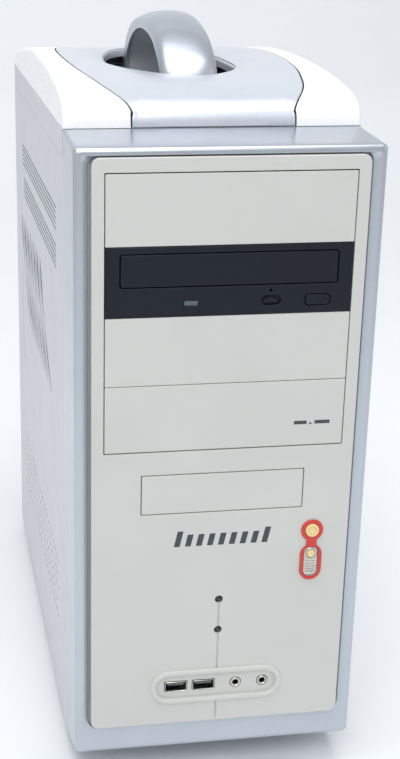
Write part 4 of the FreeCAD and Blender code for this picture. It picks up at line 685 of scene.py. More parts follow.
def grown(tree, form, values, maker, place=None):
    """Runs a tree on a form with its inputs set by identifier, and returns the plain result as a form."""
    base = finished_mesh(form, "base") if form else bpy.data.meshes.new("base")
    holder = bpy.data.objects.new("grown", base)
    bpy.context.scene.collection.objects.link(holder)
    modifier = holder.modifiers.new("Grow", "NODES")
    modifier.node_group = tree
    values = dict(values, Material=finish_named(maker))
    for item in tree.interface.items_tree:
        if item.item_type == "SOCKET" and item.in_out == "INPUT" and item.name in values:
            modifier[item.identifier] = values[item.name]
    holder.update_tag()
    bpy.context.view_layer.update()
    mesh = bpy.data.meshes.new_from_object(holder.evaluated_get(bpy.context.evaluated_depsgraph_get()))
    holder.modifiers.remove(modifier)
    bpy.data.objects.remove(holder)
    bpy.data.meshes.remove(base)
    if place:
        mesh.transform(place)
    result = bmesh.new()
    result.from_mesh(mesh)
    bpy.data.meshes.remove(mesh)
    return result


def grid_places(tree, group_in):
    """Points in rows and columns, every other row shifted along by a share of the column step."""
    columns = group_in.outputs["Columns"]
    total = add(tree, "ShaderNodeMath", {"operation": "MULTIPLY"}, {
        0: columns, 1: group_in.outputs["Rows"]}).outputs["Value"]
    points = add(tree, "GeometryNodeMeshLine", None, {"Count": total, "Offset": (0.0, 0.0, 0.0)})
    index = add(tree, "GeometryNodeInputIndex").outputs["Index"]
    column = add(tree, "ShaderNodeMath", {"operation": "MODULO"}, {0: index, 1: columns}).outputs["Value"]
    share = add(tree, "ShaderNodeMath", {"operation": "DIVIDE"}, {0: index, 1: columns}).outputs["Value"]
    row = add(tree, "ShaderNodeMath", {"operation": "FLOOR"}, {0: share}).outputs["Value"]
    odd = add(tree, "ShaderNodeMath", {"operation": "MODULO"}, {0: row, 1: 2.0}).outputs["Value"]
    along = add(tree, "ShaderNodeMath", {"operation": "MULTIPLY_ADD"}, {
        0: odd, 1: group_in.outputs["Row shift"], 2: column}).outputs["Value"]
    across = add(tree, "ShaderNodeVectorMath", {"operation": "SCALE"}, {
        0: group_in.outputs["Column step"], "Scale": along}).outputs["Vector"]
    up = add(tree, "ShaderNodeVectorMath", {"operation": "SCALE"}, {
        0: group_in.outputs["Row step"], "Scale": row}).outputs["Vector"]
    place = add(tree, "ShaderNodeVectorMath", {"operation": "ADD"}, {0: across, 1: up}).outputs["Vector"]
    return add(tree, "GeometryNodeSetPosition", None, {
        "Geometry": points.outputs["Mesh"], "Position": place}).outputs["Geometry"]


GRID_SOCKETS = [("Columns", "NodeSocketInt"), ("Rows", "NodeSocketInt"), ("Column step", "NodeSocketVector"),
                ("Row step", "NodeSocketVector"), ("Row shift", "NodeSocketFloat")]


def rows_tree():
    """Copies of a piece in rows and columns."""
    sockets = GRID_SOCKETS + [("Material", "NodeSocketMaterial")]
    tree, group_in, group_out = tree_with("Pieces in rows", sockets)
    copies = add(tree, "GeometryNodeInstanceOnPoints", None, {
        "Points": grid_places(tree, group_in), "Instance": group_in.outputs["Geometry"]})
    return end_tree(tree, copies.outputs["Instances"], group_in, group_out)


def slot_curve(tree, length, height, place):
    """A slot with round ends, as a closed flat curve centred on a place."""
    oblong = add(tree, "GeometryNodeCurvePrimitiveQuadrilateral", None, {"Width": length, "Height": height})
    radius = add(tree, "ShaderNodeMath", {"operation": "MULTIPLY"}, {0: height, 1: 0.49}).outputs["Value"]
    round_ends = add(tree, "GeometryNodeFilletCurve", {"mode": "POLY"}, {
        "Curve": oblong.outputs["Curve"], "Count": 5, "Radius": radius, "Limit Radius": True})
    moved = add(tree, "GeometryNodeSetPosition", None, {
        "Geometry": round_ends.outputs["Curve"], "Offset": place})
    return moved.outputs["Geometry"]


def sheet_tree():
    """A flat sheet with rows of slots and one upright finger slot cut through it."""
    tree, group_in, group_out = tree_with("Slotted sheet", GRID_SOCKETS + [
        ("Length", "NodeSocketFloat"), ("Height", "NodeSocketFloat"), ("Middle", "NodeSocketVector"),
        ("Slot length", "NodeSocketFloat"), ("Slot height", "NodeSocketFloat"),
        ("First slot", "NodeSocketVector"), ("Pull length", "NodeSocketFloat"),
        ("Pull height", "NodeSocketFloat"), ("Pull place", "NodeSocketVector"),
        ("Thickness", "NodeSocketFloat"), ("Material", "NodeSocketMaterial")])
    edge = add(tree, "GeometryNodeCurvePrimitiveQuadrilateral", None, {
        "Width": group_in.outputs["Length"], "Height": group_in.outputs["Height"]})
    outline = add(tree, "GeometryNodeSetPosition", None, {
        "Geometry": edge.outputs["Curve"], "Offset": group_in.outputs["Middle"]})
    slot = slot_curve(tree, group_in.outputs["Slot length"], group_in.outputs["Slot height"],
                      group_in.outputs["First slot"])
    pull = slot_curve(tree, group_in.outputs["Pull length"], group_in.outputs["Pull height"],
                      group_in.outputs["Pull place"])
    slots = add(tree, "GeometryNodeInstanceOnPoints", None, {
        "Points": grid_places(tree, group_in), "Instance": slot})
    loops = add(tree, "GeometryNodeJoinGeometry")
    for source in (outline.outputs["Geometry"], slots.outputs["Instances"], pull):
        tree.links.new(source, loops.inputs["Geometry"])
    real = add(tree, "GeometryNodeRealizeInstances", None, {"Geometry": loops.outputs["Geometry"]})
    flat = add(tree, "GeometryNodeFillCurve", None, {"Curve": real.outputs["Geometry"]}).outputs["Mesh"]
    raised = add(tree, "GeometryNodeExtrudeMesh", None, {
        "Mesh": flat, "Offset Scale": group_in.outputs["Thickness"], "Individual": False}).outputs["Mesh"]
    under = add(tree, "GeometryNodeFlipFaces", None, {"Mesh": flat}).outputs["Mesh"]
    both = add(tree, "GeometryNodeJoinGeometry")
    for source in (raised, under):
        tree.links.new(source, both.inputs["Geometry"])
    return end_tree(tree, both.outputs["Geometry"], group_in, group_out)


# ---------------------------------------------------------------- front pieces
def shell():
    """The sizes in the scene's settings."""
    return bpy.context.scene.tower_shell


def rect_ring(width, height, radius, y, x, z, steps=6):
    """A rounded rectangle as points at one depth."""
    return [Vector((px, y, pz)) for px, pz in rounded_rect(width, height, radius, x, z, steps)]


class TOWER_OT_bezel_frame(bpy.types.Operator):
    """Silver frame round the front: rolled outer edge, band that slopes inwards, and hollow back"""
    bl_idname = "tower.bezel_frame"
    bl_label = "Bezel frame"

    def execute(self, context):
        edge, slope = shell().frame_edge, shell().frame_slope
        wall, band = 2.5 * MM, 3.2 * MM
        front, back = FRAME_LOW.y, FRAME_HIGH.y
        low_back, high_back = FRAME_LOW.z, FRAME_HIGH.z
        low_front, high_front = BAYS_TOP - FRAME_DROP, BAYS_TOP + FRAME_RISE
        depth = back - front
        hole_w, hole_h = FACE_WIDTH + 2 * FACE_GROOVE, FACE_HEIGHT + 2 * FACE_GROOVE
        hole_corner = FACE_CORNER + FACE_GROOVE
        width = 2 * HALF_WIDTH

        def outer(y, inset, radius):
            share = (y - front) / depth
            low = low_front + (low_back - low_front) * share + inset
            high = high_front + (high_back - high_front) * share - inset
            return rect_ring(width - 2 * inset, high - low, radius, y, 0.0, (low + high) / 2)

        rings = [outer(back, 0.0, 2.4 * MM), outer(back - 0.2 * depth, 0.0, 2.6 * MM),
                 outer(front + 0.2 * depth, 0.0, 2.9 * MM)]
        for step in range(9):
            turn = QUARTER * step / 8
            rings.append(outer(front + edge * (1 - math.sin(turn)), edge * (1 - math.cos(turn)), edge))
        near_in, step_back = edge + 1.2 * MM, 0.05 * MM
        rings.append(outer(front + step_back, near_in, edge))
        lip = 0.7 * MM
        far_w, far_h = hole_w + 2 * lip, hole_h + 2 * lip
        for share in (0.5, 1.0):
            first = outer(front + step_back, near_in, edge)
            last = rect_ring(far_w, far_h, hole_corner + lip, front + slope, 0.0, FACE_MIDDLE)
            rings.append([a.lerp(b, share) for a, b in zip(first, last)])
        for turn in (QUARTER / 3, 2 * QUARTER / 3, QUARTER):
            out = lip * (1 - math.sin(turn))
            deep = front + slope + lip * (1 - math.cos(turn))
            rings.append(rect_ring(hole_w + 2 * out, hole_h + 2 * out, hole_corner, deep, 0.0, FACE_MIDDLE))
        inner = front + slope + band
        rings.append(rect_ring(hole_w, hole_h, hole_corner, inner, 0.0, FACE_MIDDLE))
        rings.append(outer(inner, wall, 1.0 * MM))
        rings.append(outer(back, wall, 1.0 * MM))
        piece("bezel_frame_shell", [loft(rings, wrap=True)], silver_lacquer, "chassis",
              "silver_lacquer", "bezel_frame")
        return {"FINISHED"}


SWITCH_X = middle_of("power_button").x
POWER_Z = middle_of("power_button").z
RESET_Z = middle_of("reset_button").z
PORTS_Z = middle_of("port_panel").z
LAMP_R = 2.5 * MM
LAMP_PLAY = 0.05 * MM
LAMP_HIGH = BAYS_TOP - 272.0 * MM
LAMP_LOW = BAYS_TOP - 293.7 * MM
INSERT_Z = middle_of("switch_insert").z
FLOPPY_LOW, FLOPPY_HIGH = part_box("floppy_blank")
LINE_HALF = 0.5 * MM
LINE_DEPTH = 0.9 * MM


def keyhole(radius, half, low, centres):
    """An upright slot that runs up through round holes and ends in the last one."""
    right = [(half, low)]
    for centre in centres[:-1]:
        dip = math.asin(half / radius)
        for step in range(13):
            turn = -QUARTER + dip + (math.pi - 2 * dip) * step / 12
            right.append((radius * math.cos(turn), centre + radius * math.sin(turn)))
    dip = math.asin(half / radius)
    cap = [(radius * math.cos(-QUARTER + dip + (2 * math.pi - 2 * dip) * step / 28),
            centres[-1] + radius * math.sin(-QUARTER + dip + (2 * math.pi - 2 * dip) * step / 28))
           for step in range(29)]
    left = [(-x, z) for x, z in reversed(right)]
    return right + cap + left


class TOWER_OT_face_plate(bpy.types.Operator):
    """Light grey face plate: openings for what it holds, a fine upright line, and a return wall"""
    bl_idname = "tower.face_plate"
    bl_label = "Face plate"

    def execute(self, context):
        low = FACE_MIDDLE - FACE_HEIGHT / 2
        outline = rounded_rect(FACE_WIDTH, FACE_HEIGHT, FACE_CORNER, 0.0, FACE_MIDDLE, 8)
        line_low, line_high = low + 1.3 * MM, PORTS_Z - 10.4 * MM
        line_middle, line_width = (line_low + line_high) / 2, 2 * LINE_HALF
        stack = BAY_COUNT * BAY_PITCH
        floppy_middle = (FLOPPY_LOW.z + FLOPPY_HIGH.z) / 2
        stack_middle = BAYS_TOP - stack / 2
        holes = [rounded_rect(BAY_WIDTH + COVER_PLAY, stack + COVER_PLAY, 0.4 * MM, 0.0, stack_middle, 2),
                 rounded_rect(FLOPPY_WIDTH + COVER_PLAY, FLOPPY_HEIGHT + COVER_PLAY, 0.4 * MM, 0.0,
                              floppy_middle, 2),
                 circle(POWER_HOLE, SWITCH_X, POWER_Z),
                 rounded_rect(*INSERT_HOLE, 3 * MM, SWITCH_X, INSERT_Z),
                 rounded_rect(81 * MM, 18.2 * MM, 9.0 * MM, 0.0, PORTS_Z, 10),
                 rounded_rect(line_width, line_high - line_low, 0.2 * MM, 0.0, line_middle, 2),
                 keyhole(LAMP_R + LAMP_PLAY, LINE_HALF, PORTS_Z + 9.4 * MM, (LAMP_LOW, LAMP_HIGH))]
        forms = [cut_plate(outline, holes, FACE_Y, FACE_BACK, shell().plate_edge)]
        backing = LINE_HALF * 0.98
        for start, end in ((line_low, line_high), (PORTS_Z + 9.5 * MM, LAMP_LOW - LAMP_R),
                           (LAMP_LOW + LAMP_R, LAMP_HIGH - LAMP_R)):
            forms.append(bar((-backing, FACE_Y + LINE_DEPTH, start),
                             (backing, FACE_BACK - 0.1 * MM, end), 0.05 * MM, 1))
        tail = FACE_Y + 9.5 * MM
        flange = tail - 2 * MM
        return_wall = ((-0.1, -0.1, 0.0, FACE_BACK), (-0.1, -0.1, 0.0, flange), (8.0, 4.0, 2.0, flange),
                       (8.0, 4.0, 2.0, tail), (-4.0, -4.0, -2.0, tail), (-4.0, -4.0, -2.0, FACE_BACK))
        rings = [rect_ring(FACE_WIDTH + wider * MM, FACE_HEIGHT + taller * MM, FACE_CORNER + rounder * MM, y,
                           0.0, FACE_MIDDLE) for wider, taller, rounder, y in return_wall]
        forms.append(loft(rings, wrap=True))
        piece("face_plate_shell", forms, grey_abs, "chassis", "grey_abs", "face_plate")
        return {"FINISHED"}


def blank_form(low, high):
    """A bay cover: its front plate, two side ears and a stiffening rib."""
    width, height = high.x - low.x, high.z - low.z
    half = width / 2
    plate_back = FACE_Y + 2.5 * MM
    outline = rounded_rect(width, height, 0.6 * MM, 0.0, (low.z + high.z) / 2, 4)
    forms = [cut_plate(outline, [], FACE_Y, plate_back, shell().plate_edge)]
    ear_inset, ear_thick, ear_margin = 1 * MM, 2 * MM, 4 * MM
    for side in (-1, 1):
        ends = sorted((side * (half - ear_inset), side * (half - ear_inset - ear_thick)))
        forms.append(bar((ends[0], plate_back, low.z + ear_margin), (ends[1], high.y, high.z - ear_margin),
                         0.4 * MM))
    forms.append(bar((-half + ear_margin, plate_back, high.z - 3 * MM),
                     (half - ear_margin, FACE_Y + 6 * MM, high.z - 1.5 * MM), 0.4 * MM))
    return forms


class TOWER_OT_bay_blanks(bpy.types.Operator):
    """Covers of the empty drive bays, flush with the face plate, with crisp seams between them"""
    bl_idname = "tower.bay_blanks"
    bl_label = "Bay blanks"

    def execute(self, context):
        for node in ("bay_blank_top", "bay_blank_third", "bay_blank_fourth", "floppy_blank"):
            name = node + "_cover"
            piece(name, blank_form(*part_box(node)), grey_abs, "chassis", "grey_abs", node)
        return {"FINISHED"}


class TOWER_OT_drive_front(bpy.types.Operator):
    """Optical drive's front: bezel, tray door, eject button, headphone wheel recess and lamp window"""
    bl_idname = "tower.drive_front"
    bl_label = "Drive front"

    def execute(self, context):
        low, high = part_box("drive_bezel")
        back = high.y
        door, eject, lamp = (middle_of(node) for node in ("tray_door", "eject_button", "drive_lamp"))
        door_size, eject_size, lamp_size = (130 * MM, 19.3 * MM), (15 * MM, 6.3 * MM), (8.2 * MM, 2.9 * MM)
        wheel_x, wheel_z = 25 * MM, high.z - 33.65 * MM
        wheel_hole, pinhole_rise = (12 * MM, 6 * MM), 6 * MM

        def opening(size, play, radius, spot, steps=6):
            return rounded_rect(size[0] + play, size[1] + play, radius, spot[0], spot[1], steps)

        holes = [opening(door_size, 1 * MM, 2 * MM, (0.0, door.z)),
                 circle(0.8 * MM, wheel_x, wheel_z + pinhole_rise, 14),
                 opening(eject_size, 0.6 * MM, 2.6 * MM, (eject.x, eject.z)),
                 opening(lamp_size, 0.2 * MM, 0.3 * MM, (lamp.x, lamp.z), 2),
                 opening(wheel_hole, 0.0, 2.9 * MM, (wheel_x, wheel_z))]
        outline = rounded_rect(high.x - low.x, high.z - low.z, 0.8 * MM, 0.0, (low.z + high.z) / 2, 4)
        forms = [cut_plate(outline, holes, FACE_Y, back, shell().plate_edge),
                 cut_plate(opening(wheel_hole, -0.1 * MM, 2.9 * MM, (wheel_x, wheel_z)), [],
                           FACE_Y + 1.6 * MM, back - 0.5 * MM, 0.1 * MM)]
        wheel_reach, wheel_rise, wheel_drop = 4.6 * MM, 3.1 * MM, 1.2 * MM
        wheel = [(wheel_x + wheel_reach * math.cos(turn), wheel_z - wheel_drop + wheel_rise * math.sin(turn))
                 for turn in [math.pi * step / 12 for step in range(13)]]
        forms.append(cut_plate(wheel, [], FACE_Y + 0.1 * MM, FACE_Y + 2 * MM, 0.35 * MM))
        piece("drive_bezel_front", forms, black_abs, "chassis", "black_abs", "drive_bezel")
        flap_low, flap_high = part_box("tray_door")
        flap = cut_plate(opening(door_size, 0.0, 1.6 * MM, (0.0, door.z)), [], flap_low.y, flap_high.y,
                         0.7 * MM)
        piece("tray_door_flap", [flap], black_abs, "disc_drawer", "black_abs", "tray_door")
        eject_low, eject_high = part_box("eject_button")
        cap_back = FACE_Y + 5 * MM
        cap = cut_plate(opening(eject_size, 0.0, 2.4 * MM, (eject.x, eject.z)), [], eject_low.y, cap_back,
                        0.8 * MM)
        stem = bar((eject.x - 2 * MM, cap_back, eject.z - 1.5 * MM),
                   (eject.x + 2 * MM, eject_high.y, eject.z + 1.5 * MM), 0.2 * MM)
        piece("eject_button_cap", [cap, stem], black_abs, "eject_button", "black_abs", "eject_button")
        window = cut_plate(opening(lamp_size, 0.0, 0.3 * MM, (lamp.x, lamp.z), 2), [], FACE_Y + 0.3 * MM,
                           back + 1 * MM, 0.25 * MM)
        piece("drive_lamp_window", [window], lamp_grey, "chassis", "smoked_lens", "drive_lamp")
        return {"FINISHED"}


def figure_eight(power_r, capsule_w, capsule_h, capsule_z, neck):
    """The surround's outline: a disc and an upright capsule joined by a neck with soft corners."""
    capsule_r = capsule_w / 2
    high = capsule_z + capsule_h / 2 - capsule_r
    low = capsule_z - capsule_h / 2 + capsule_r
    lean = math.acos(neck / power_r)
    points = [(power_r * math.cos(turn), POWER_Z + power_r * math.sin(turn))
              for turn in [-lean + (math.pi + 2 * lean) * step / 30 for step in range(31)]]
    under = math.acos(neck / capsule_r)
    arcs = ((math.pi - under, math.pi, high), (math.pi, 2 * math.pi, low), (0.0, under, high))
    for start, end, centre in arcs:
        points += [(capsule_r * math.cos(turn), centre + capsule_r * math.sin(turn))
                   for turn in [start + (end - start) * step / 12 for step in range(13)]]
    return [(SWITCH_X + x, z) for x, z in points]


class TOWER_OT_switches(bpy.types.Operator):
    """Red surround with the power button above, and the ribbed insert with the reset button below"""
    bl_idname = "tower.switches"
    bl_label = "Switches"

    def execute(self, context):
        low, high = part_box("switch_surround")
        capsule_mid = low.z + 12.3 * MM
        outline = figure_eight(7.2 * MM, 14.2 * MM, 24.6 * MM, capsule_mid, 3.4 * MM)
        holes = [circle(POWER_HOLE, SWITCH_X, POWER_Z),
                 rounded_rect(*INSERT_HOLE, 3.4 * MM, SWITCH_X, INSERT_Z)]
        plate = cut_plate(outline, holes, low.y, high.y, 0.42 * MM)
        piece("switch_surround_plate", [plate], red_plastic, "chassis", "red_abs",
              "switch_surround")
        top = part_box("power_button")[0].y
        cap = [(0, 0.55), (1.2, 0.55), (1.5, 0.25), (2.0, 0.25), (2.4, 0.7), (2.9, 0.7), (3.2, 0.1),
               (3.6, 0), (4.1, 0.2), (4.4, 0.7), (4.4, 12), (1.6, 12), (1.6, 15), (0, 15)]
        form = lathe([(r * MM, d * MM) for r, d in cap], (SWITCH_X, top, POWER_Z), FRONT_AXIS)
        piece("power_button_cap", [form], cream_plastic, "power_button", "cream_abs",
              "power_button")
        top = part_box("reset_button")[0].y
        cap = [(0, 0.3), (1.2, 0.2), (1.9, 0), (2.4, 0.15), (2.7, 0.6), (2.7, 12), (1.4, 12), (1.4, 15),
               (0, 15)]
        form = lathe([(r * MM, d * MM) for r, d in cap], (SWITCH_X, top, RESET_Z), FRONT_AXIS, 32)
        piece("reset_button_cap", [form], cream_plastic, "reset_button", "cream_abs",
              "reset_button")
        low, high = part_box("switch_insert")
        forms = [cut_plate(rounded_rect(8.8 * MM, 19.6 * MM, 3.1 * MM, SWITCH_X, INSERT_Z),
                           [circle(3.0 * MM, SWITCH_X, RESET_Z, 28)], low.y + 0.5 * MM, high.y, 0.2 * MM)]
        collar = [(3.0, 0.6), (3.0, 0.15), (3.3, 0.0), (3.8, 0.0), (4.1, 0.2), (4.1, 0.6)]
        rings = [[Vector((SWITCH_X + r * MM * math.cos(a), low.y + d * MM, RESET_Z + r * MM * math.sin(a)))
                  for a in [2 * math.pi * n / 32 for n in range(32)]] for r, d in collar]
        forms.append(loft(rings, wrap=True))
        rib = bar((SWITCH_X - 3.2 * MM, low.y + 0.02 * MM, low.z + 2.1 * MM),
                  (SWITCH_X + 3.2 * MM, low.y + 0.6 * MM, low.z + 3.1 * MM), 0.25 * MM)
        forms.append(grown(rows_tree(), rib, {
            "Columns": 1, "Rows": 5, "Row step": (0.0, 0.0, 1.8 * MM), "Row shift": 0.0}, nickel))
        piece("switch_insert_plate", forms, nickel, "chassis", "nickel_plate",
              "switch_insert")
        return {"FINISHED"}


class TOWER_OT_status_lamps(bpy.types.Operator):
    """Two round smoked lamps in the upright line"""
    bl_idname = "tower.status_lamps"
    bl_label = "Status lamps"

    def execute(self, context):
        dome = [(0, 0.6), (1.0, 0.7), (1.8, 1.1), (2.3, 1.8), (2.45, 2.6), (2.45, 3.3), (3.5, 3.3),
                (3.5, 4.5), (2.45, 4.5), (2.45, 9.4), (0, 9.4)]
        forms = [lathe([(r * MM, d * MM) for r, d in dome], (0, FACE_Y, z), FRONT_AXIS, 28)
                 for z in (LAMP_HIGH, LAMP_LOW)]
        piece("status_lamp_domes", forms, smoked_lens, "chassis", "smoked_lens",
              "status_lamps")
        return {"FINISHED"}


def stadium_ring(width, height, y):
    """The port panel's oblong at one depth."""
    return rect_ring(width, height, height / 2 - 0.01 * MM, y, 0.0, PORTS_Z, 12)


class TOWER_OT_port_panel(bpy.types.Operator):
    """Oblong port panel: a rolled rim round a sunken floor with two USB sockets and two audio jacks"""
    bl_idname = "tower.port_panel"
    bl_label = "Port panel"

    def execute(self, context):
        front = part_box("port_panel")[0].y
        floor = FACE_Y + 1 * MM
        wide, high, rim = 87 * MM, 24.2 * MM, 4.0 * MM
        proud = FACE_Y - front
        rings = []
        for step in range(9):
            turn = math.pi * step / 8
            inset = rim * 0.5 * (1 - math.cos(turn))
            rings.append(stadium_ring(wide - 2 * inset, high - 2 * inset,
                                      FACE_Y - proud * math.sin(turn) ** 0.7))
        seat, floor_cut, sunk = 6.4 * MM, 6.6 * MM, floor + 0.2 * MM
        rings += [stadium_ring(wide - 2 * rim, high - 2 * rim, sunk),
                  stadium_ring(wide - seat, high - seat, sunk),
                  stadium_ring(wide - seat, high - seat, FACE_Y + 0.02 * MM)]
        forms = [loft(rings, wrap=True)]
        usb = (-26.5 * MM, -8.3 * MM)
        jacks = (13.0 * MM, 30.8 * MM)
        holes = [rounded_rect(15.2 * MM, 7.4 * MM, 0.5 * MM, x, PORTS_Z, 3) for x in usb]
        holes += [circle(3.8 * MM, x, PORTS_Z) for x in jacks]
        outline = rounded_rect(wide - floor_cut, high - floor_cut, high / 2 - 3.4 * MM, 0.0, PORTS_Z, 12)
        forms.append(cut_plate(outline, holes, floor, FACE_BACK, 0.25 * MM))
        piece("port_panel_rim", forms, grey_abs, "chassis", "grey_abs", "port_panel")
        nose = [(0, 12), (1.8, 12), (1.8, 1.0), (2.3, 0.5), (3.1, 0.45), (3.5, 0.9), (3.5, 4.2), (4.6, 4.2),
                (4.6, 14.4), (0, 14.4)]
        forms = []
        for x in jacks:
            form = lathe([(r * MM, d * MM) for r, d in nose], (x, FACE_Y, PORTS_Z), FRONT_AXIS, 36)
            for face in form.faces:
                away = face.calc_center_median() - Vector((x, 0, PORTS_Z))
                face.material_index = 1 if math.hypot(away.x, away.z) < 2.0 * MM else 0
            forms.append(form)
        piece("audio_jack_noses", forms, (nickel, black_abs), "chassis",
              "dark_grey_abs", "audio_jacks")
        usb_wide, usb_tall = 14.6 * MM, 6.8 * MM
        mouth, tail = FACE_Y + 0.4 * MM, FACE_Y + 14.4 * MM
        rolled = mouth + 0.2 * MM
        tube = ((0.0, 0.9, tail), (0.0, 0.9, rolled), (0.5, 0.7, mouth), (1.0, 0.6, rolled),
                (1.0, 0.6, tail - 0.5 * MM))
        forms = [loft([rect_ring(usb_wide - less * MM, usb_tall - less * MM, corner * MM, y, x, PORTS_Z, 4)
                       for less, corner, y in tube], caps=True) for x in usb]
        piece("usb_socket_shells", forms, nickel, "chassis", "nickel_plate",
              "usb_shells")
        forms = []
        for x in usb:
            top = PORTS_Z + usb_tall / 2 - 1.2 * MM
            forms.append(bar((x - 5.5 * MM, FACE_Y + 1.6 * MM, top - 1.9 * MM),
                             (x + 5.5 * MM, FACE_Y + 13.8 * MM, top), 0.25 * MM))
            contact = bar((x - 4.0 * MM, FACE_Y + 2.2 * MM, top - 2.1 * MM),
                          (x - 3.0 * MM, FACE_Y + 9 * MM, top - 1.92 * MM), 0.05 * MM, 1)
            forms.append(grown(rows_tree(), contact, {
                "Columns": 4, "Rows": 1, "Column step": (2.33 * MM, 0.0, 0.0), "Row shift": 0.0}, nickel))
        piece("usb_socket_tongues", forms, charcoal_and_well_shade, "chassis", "dark_grey_abs",
              "usb_tongues")
        return {"FINISHED"}


# ---------------------------------------------------------------- top cover, centre panel and handle
COVER_LINE = [(55.5, 17.3), (57, 25), (64, 32), (84, 37.6), (125, 41.8), (175, 44.2), (225, 45), (274, 43.4),
              (325, 39), (381, 32), (410, 26), (419.5, 17.3)]
CENTRE_FRONT, CENTRE_BACK, CENTRE_CORNER = 57, 338, 51.0
CENTRE_LINE = [(CENTRE_FRONT, 50), (64, 54), (78, 60.5), (99, 66), (150, 74), (225, 77), (290, 71), (312, 62),
               (327, 47), (335, 28), (CENTRE_BACK, 0)]
DISH_MIDDLE, DISH_HALF_X, DISH_HALF_Y = 217.0, 62.0, 117.0
WELL_HALF_X, WELL_HALF_Y = 43.0, 98.0


def walked(line):
    """A line of pairs with the distance walked to each."""
    done = [0.0]
    for (a0, b0), (a1, b1) in zip(line, line[1:]):
        done.append(done[-1] + math.hypot(a1 - a0, b1 - b0))
    return done


PROFILE = smooth_line(COVER_LINE, 240)
WALK = walked(PROFILE)


def place_at(distance):
    """Where the cover's profile is after that distance, and the direction out of it."""
    distance = min(max(distance, 0.0), WALK[-1])
    spot = next(at for at in range(1, len(WALK)) if WALK[at] >= distance or at == len(WALK) - 1)
    (a0, b0), (a1, b1) = PROFILE[spot - 1], PROFILE[spot]
    t = (distance - WALK[spot - 1]) / max(WALK[spot] - WALK[spot - 1], 1e-9)
    before = PROFILE[max(spot - 3, 0)]
    after = PROFILE[min(spot + 2, len(PROFILE) - 1)]
    run = math.hypot(after[0] - before[0], after[1] - before[1])
    out_y, out_z = -(after[1] - before[1]) / run, (after[0] - before[0]) / run
    return (a0 + (a1 - a0) * t, b0 + (b1 - b0) * t, out_y, out_z)


def distance_to(behind):
    """How far along the profile a place behind the face lies."""
    return value_at([(a, done) for (a, b), done in zip(PROFILE, WALK)], behind)


def on_cover(x, distance, sink):
    """A point of the cover's surface in metres, sunk along its normal by millimetres."""
    behind, above, out_y, out_z = place_at(distance)
    return Vector((x * MM, FACE_Y + (behind - out_y * sink) * MM, BAYS_TOP + (above - out_z * sink) * MM))


def dish_sink(x, behind):
    """How deep the bowl round the handle is below the cover's own surface, in millimetres."""
    across, along = x / DISH_HALF_X, (behind - DISH_MIDDLE) / DISH_HALF_Y
    reach = math.hypot(across, along)
    rim = WELL_HALF_X / DISH_HALF_X
    share = min(max((1.04 - reach) / (1.04 - rim), 0.0), 1.2)
    sideways = (across / reach) ** 2 if reach > 0 else 1.0
    return shell().dish_depth / MM * share ** 1.7 * (0.15 + 0.85 * sideways)


def thickened(form, name, thickness):
    """A sheet given a wall towards its inside, with its rims closed."""
    mesh = bpy.data.meshes.new(name)
    form.to_mesh(mesh)
    form.free()
    holder = bpy.data.objects.new(name, mesh)
    bpy.context.scene.collection.objects.link(holder)
    wall = holder.modifiers.new("Wall", "SOLIDIFY")
    wall.thickness = thickness
    wall.offset = -1.0
    bpy.context.view_layer.update()
    solid = bpy.data.meshes.new_from_object(holder.evaluated_get(bpy.context.evaluated_depsgraph_get()))
    bpy.data.objects.remove(holder)
    bpy.data.meshes.remove(mesh)
    form = bmesh.new()
    form.from_mesh(solid)
    bpy.data.meshes.remove(solid)
    return form


def upward(form):
    """Turns an open sheet's faces so that most of them look up."""
    bmesh.ops.remove_doubles(form, verts=form.verts, dist=1e-6)
    bmesh.ops.recalc_face_normals(form, faces=form.faces)
    form.normal_update()
    if sum(face.normal.z * face.calc_area() for face in form.faces) < 0:
        bmesh.ops.reverse_faces(form, faces=form.faces)
    return form


class TOWER_OT_top_cover(bpy.types.Operator):
    """White cover over the top: a long arch with rolled side edges, open for the centre panel"""
    bl_idname = "tower.top_cover"
    bl_label = "Top cover"

    def execute(self, context):
        half, roll, edge_run, notch = HALF_WIDTH / MM, 3.2, 0.6, 26
        outline = smooth_line(CENTRE_LINE, 160)
        back = distance_to(CENTRE_BACK)
        stops = sorted({round(WALK[-1] * at / 110, 3) for at in range(111)}
                       | {round(back - notch * (1 - math.cos(QUARTER * at / 16)) - 0.01, 3)
                          for at in range(17)}
                       | {round(back + 0.02, 3)})
        form = bmesh.new()
        edge_dips = ((0.0, 0.6), (0.18, 0.18), (edge_run, 0.0))
        corner_turns = [QUARTER * at / 6 for at in range(1, 7)]
        for side in (-1, 1):
            rows = []
            for stop in stops:
                behind = place_at(stop)[0]
                open_edge = behind < CENTRE_BACK - 0.01
                inner = value_at(outline, behind) if open_edge else 0.0
                inner = CENTRE_CORNER if behind <= CENTRE_FRONT else inner
                spots = [(inner + step, dip if open_edge else 0.0) for step, dip in edge_dips]
                start = inner + edge_run
                spots += [(start + (half - roll - start) * at / 10, 0.0) for at in range(1, 11)]
                spots += [(half - roll + roll * math.sin(turn), roll * (1 - math.cos(turn)))
                          for turn in corner_turns]
                row = [form.verts.new(on_cover(side * x, stop, sink)) for x, sink in spots]
                foot = on_cover(side * half, stop, roll)
                foot.z = COVER_LOW.z
                row.append(form.verts.new(foot))
                rows.append(row)
            for first, second in zip(rows, rows[1:]):
                for at in range(len(first) - 1):
                    form.faces.new((first[at], first[at + 1], second[at + 1], second[at]))
        form = thickened(upward(form), "cover", WALL)
        for vert in form.verts:
            vert.co.x = min(max(vert.co.x, -HALF_WIDTH), HALF_WIDTH)
        piece("top_cover_shell", [form], white_abs, "chassis", "white_abs", "top_cover")
        return {"FINISHED"}


